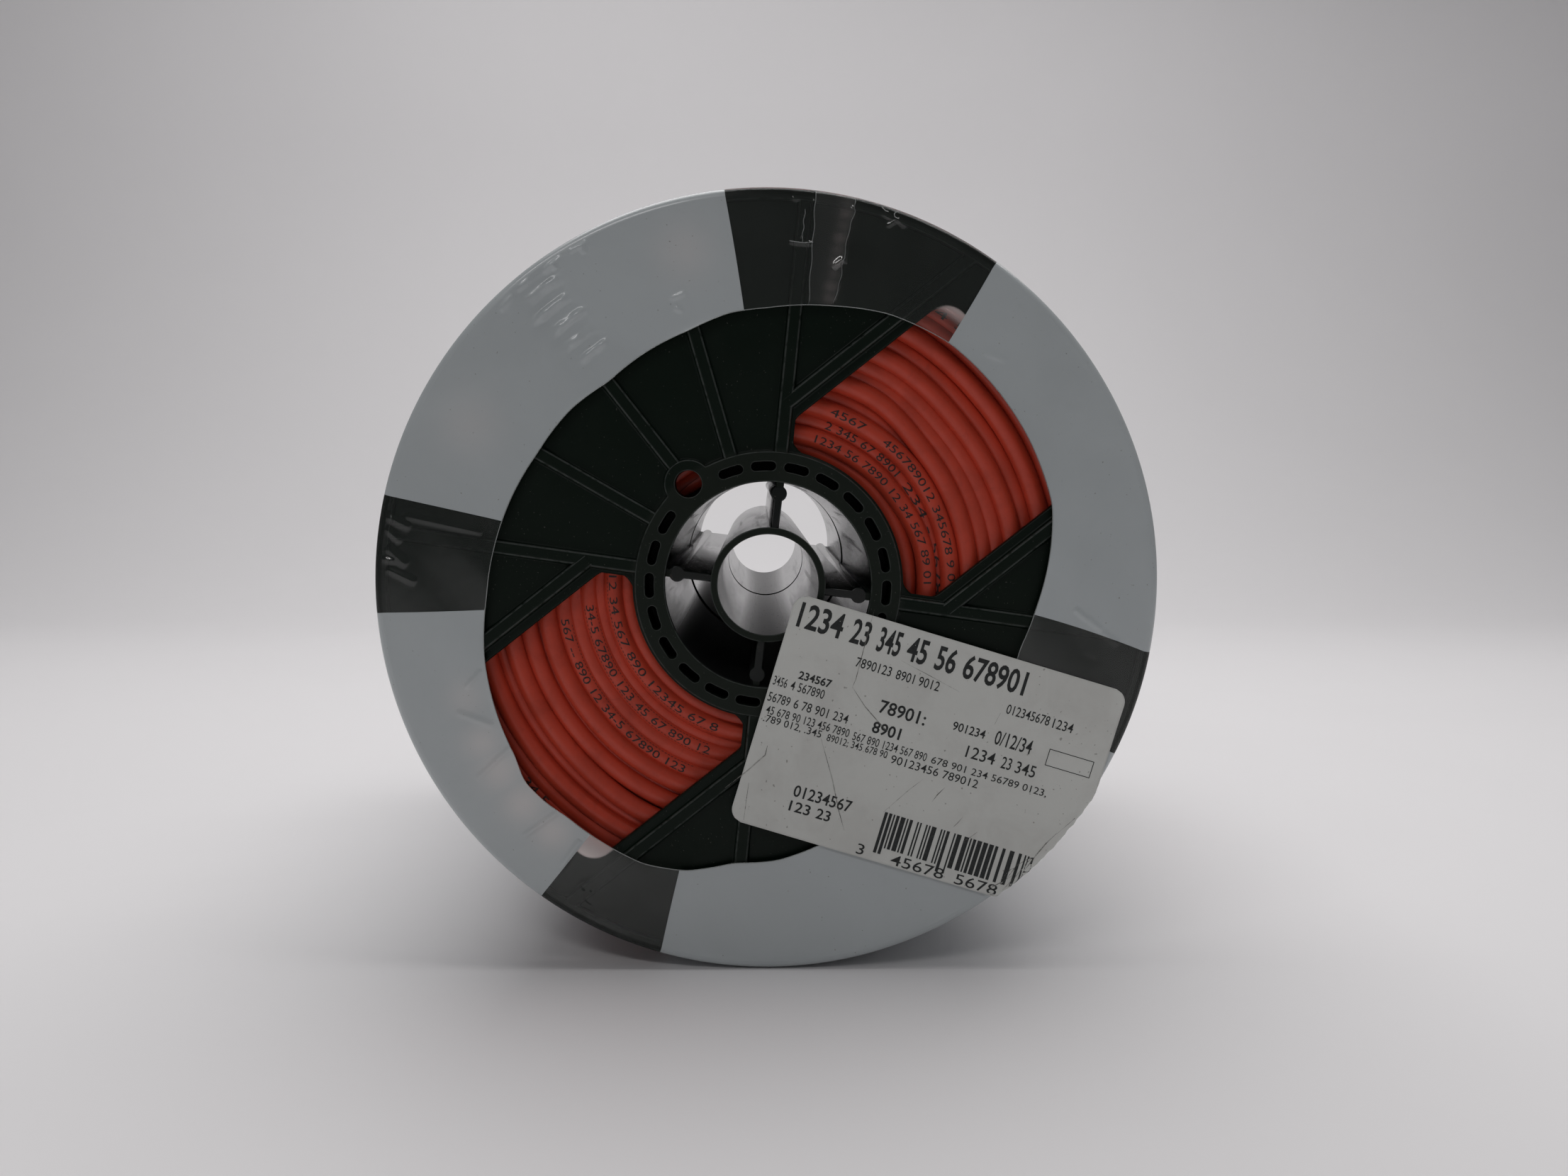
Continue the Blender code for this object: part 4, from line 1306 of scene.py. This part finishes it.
def labelPrint():
    shape = emptyShape()
    surface = labelInk()
    for k, (left, base, height, length, pattern, bold) in enumerate(labelLines):
        digits = counting(pattern, k + 1)
        addDigits(shape, digits, (left * mm, base * mm), height * mm, length * mm, surface, bold)
    addBars(shape, surface)
    left, low, right, high = (value * mm for value in label["box"])
    line = label["boxLine"] * mm
    for start, end in (((left, low), (right, low + line)), ((left, high - line), (right, high)),
                       ((left, low), (left + line, high)), ((right - line, low), (right, high))):
        addPatch(shape, start, end, surface, (8, 8))
    return shape


def labelCreaseShadeLines():  # Painted shade along the creases
    shape = emptyShape()
    surface = labelInk(0.02 * mm)
    for points, width, _ in labelCreases:
        rows = []
        for i, (u, v) in enumerate(points):
            before, after = points[max(0, i - 1)], points[min(len(points) - 1, i + 1)]
            run = Vector((after[0] - before[0], after[1] - before[1])).normalized()
            half = width / 2 * (0.25 if i in (0, len(points) - 1) else 1.0)
            rows.append([surface((u + run.y * s * half) * mm, (v - run.x * s * half) * mm) for s in (-1, 1)])
        addGrid(shape, rows)
    return shape


def paperMaterial():
    material, tree, shader = newMaterial("white label paper", {"Specular IOR Level": 0.3})
    soil = place(tree, smudges, Size=75.0, Low=0.38, High=0.80)
    spots = place(tree, smudges, Size=420.0, Low=0.68, High=0.84)
    dust = place(tree, dustSpecks, Density=0.6, Grain=1100.0)
    color = mixColor(tree, mathNode(tree, "MULTIPLY", soil, 0.8), label["paper"], label["soil"])
    color = mixColor(tree, mathNode(tree, "MULTIPLY", spots, 0.40), color, label["spots"])
    color = mixColor(tree, mathNode(tree, "MULTIPLY", dust, 0.6), color, label["dust"])
    tree.links.new(color, shader.inputs["Base Color"])
    tree.links.new(mixValue(tree, soil, 0.46, 0.62), shader.inputs["Roughness"])
    addBump(tree, shader, place(tree, fineGrain, Grain=1500.0), 0.03 * mm)
    return material


# dark lines along the creases are painted shade
def creaseShadeMaterial():
    settings = {"Base Color": (*label["creaseShade"], 1), "Roughness": 0.8}
    material, tree, shader = newMaterial("painted shade in the creases", settings)
    patchy = place(tree, smudges, Size=600.0, Low=0.35, High=0.65)
    tree.links.new(mixValue(tree, patchy, 0.25, 0.75), shader.inputs["Alpha"])
    return material


labelPaper = paperMaterial()
# the label's back faces are painted dark, as shade
labelShadedBack = plainInk("shaded label back", label["shadedBack"], 0.5)
labelBlack = plainInk("label ink", label["ink"], 0.45)
labelCreaseShade = creaseShadeMaterial()
paper = finishShape("label_sheet", labelSheet(), (labelPaper, labelShadedBack), sharp=None)
thick = paper.modifiers.new("thickness", "SOLIDIFY")
thick.thickness = label["thickness"]
thick.offset = -1
thick.material_offset = 1
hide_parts("paper_label")
ink = finishShape("label_counting_print", labelPrint(), (labelBlack,), sharp=None)
marks = finishShape("label_crease_shade", labelCreaseShadeLines(), (labelCreaseShade,), sharp=None)
for piece in (paper, ink, marks):
    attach(piece, "root")
print("label made")


# Stage, lights and camera

stage = {
    "flatBack": 0.62, "sweep": 0.42, "wallTop": 2.2, "front": -2.2, "halfWidth": 2.6,
    "floorColor": (0.84, 0.83, 0.84),
    "world": (0.13, 0.129, 0.133),
    "overhead light": {"place": (0.05, 0.24, 0.95), "size": (1.2, 1.0), "power": 8.8,
                       "color": (1.0, 0.985, 0.98), "target": (0.0, 0.05, 0.0)},
    "front light": {"place": (-0.50, -1.00, 0.95), "size": (0.70, 0.10), "power": 1.9,
                    "color": (1.0, 0.99, 0.985), "target": (0.0, -0.1, 0.08)},
    # from the front face's middle in mm, its direction, its turn, its focal length in pixels of the width
    "camera": {"place": (-2.32, -316.10, 23.95), "aim": (0.01794, 0.99684, -0.07742), "roll": 0.080,
               "focalPixels": 2118, "imageWidth": 2212, "sensor": 36.0},
}


def makeStage():
    shape = emptyShape()
    profile = [(stage["front"], 0.0), (stage["flatBack"], 0.0)]
    for k in range(1, 17):
        a = pi / 2 * k / 16
        profile.append((stage["flatBack"] + stage["sweep"] * sin(a), stage["sweep"] * (1 - cos(a))))
    profile.append((stage["flatBack"] + stage["sweep"], stage["wallTop"]))
    wide = stage["halfWidth"]
    addGrid(shape, [[(x, y, z) for x in (-wide, wide)] for y, z in profile])
    material, tree, shader = newMaterial("pale sweep", {"Specular IOR Level": 0.25, "Roughness": 0.55})
    soft = place(tree, smudges, Size=3.0, Low=0.2, High=0.9)
    color = mixColor(tree, soft, stage["floorColor"], tuple(0.97 * c for c in stage["floorColor"]))
    tree.links.new(color, shader.inputs["Base Color"])
    return finishShape("pale_sweep", shape, (material,), sharp=None)


def addLight(name):
    settings = stage[name + " light"]
    data = bpy.data.lights.new(name, "AREA")
    data.shape = "RECTANGLE"
    data.size, data.size_y = settings["size"]
    data.energy = settings["power"]
    data.color = settings["color"]
    item = bpy.data.objects.new(name, data)
    item.location = settings["place"]
    item.rotation_euler = (Vector(settings["target"]) - item.location).to_track_quat("-Z", "Y").to_euler()
    bpy.context.scene.collection.objects.link(item)


def addCamera():
    settings = stage["camera"]
    data = bpy.data.cameras.new("camera")
    data.sensor_width = settings["sensor"]
    data.lens = settings["sensor"] * settings["focalPixels"] / settings["imageWidth"]
    data.clip_start = 0.01
    item = bpy.data.objects.new("camera", data)
    item.location = Vector(settings["place"]) * mm + Vector((0, frontFace, axisHeight))
    aim = Vector(settings["aim"]).to_track_quat("-Z", "Y").to_matrix().to_4x4()
    item.rotation_euler = (aim @ Matrix.Rotation(radians(settings["roll"]), 4, "Z")).to_euler()
    bpy.context.scene.collection.objects.link(item)
    bpy.context.scene.camera = item


makeStage()
addLight("overhead")
addLight("front")
world = bpy.data.worlds.new("studio")
world.use_nodes = True
world.node_tree.nodes["Background"].inputs["Color"].default_value = (*stage["world"], 1.0)
bpy.context.scene.world = world
bpy.context.scene.view_settings.view_transform = "Standard"
addCamera()
print("stage, lights and camera set")
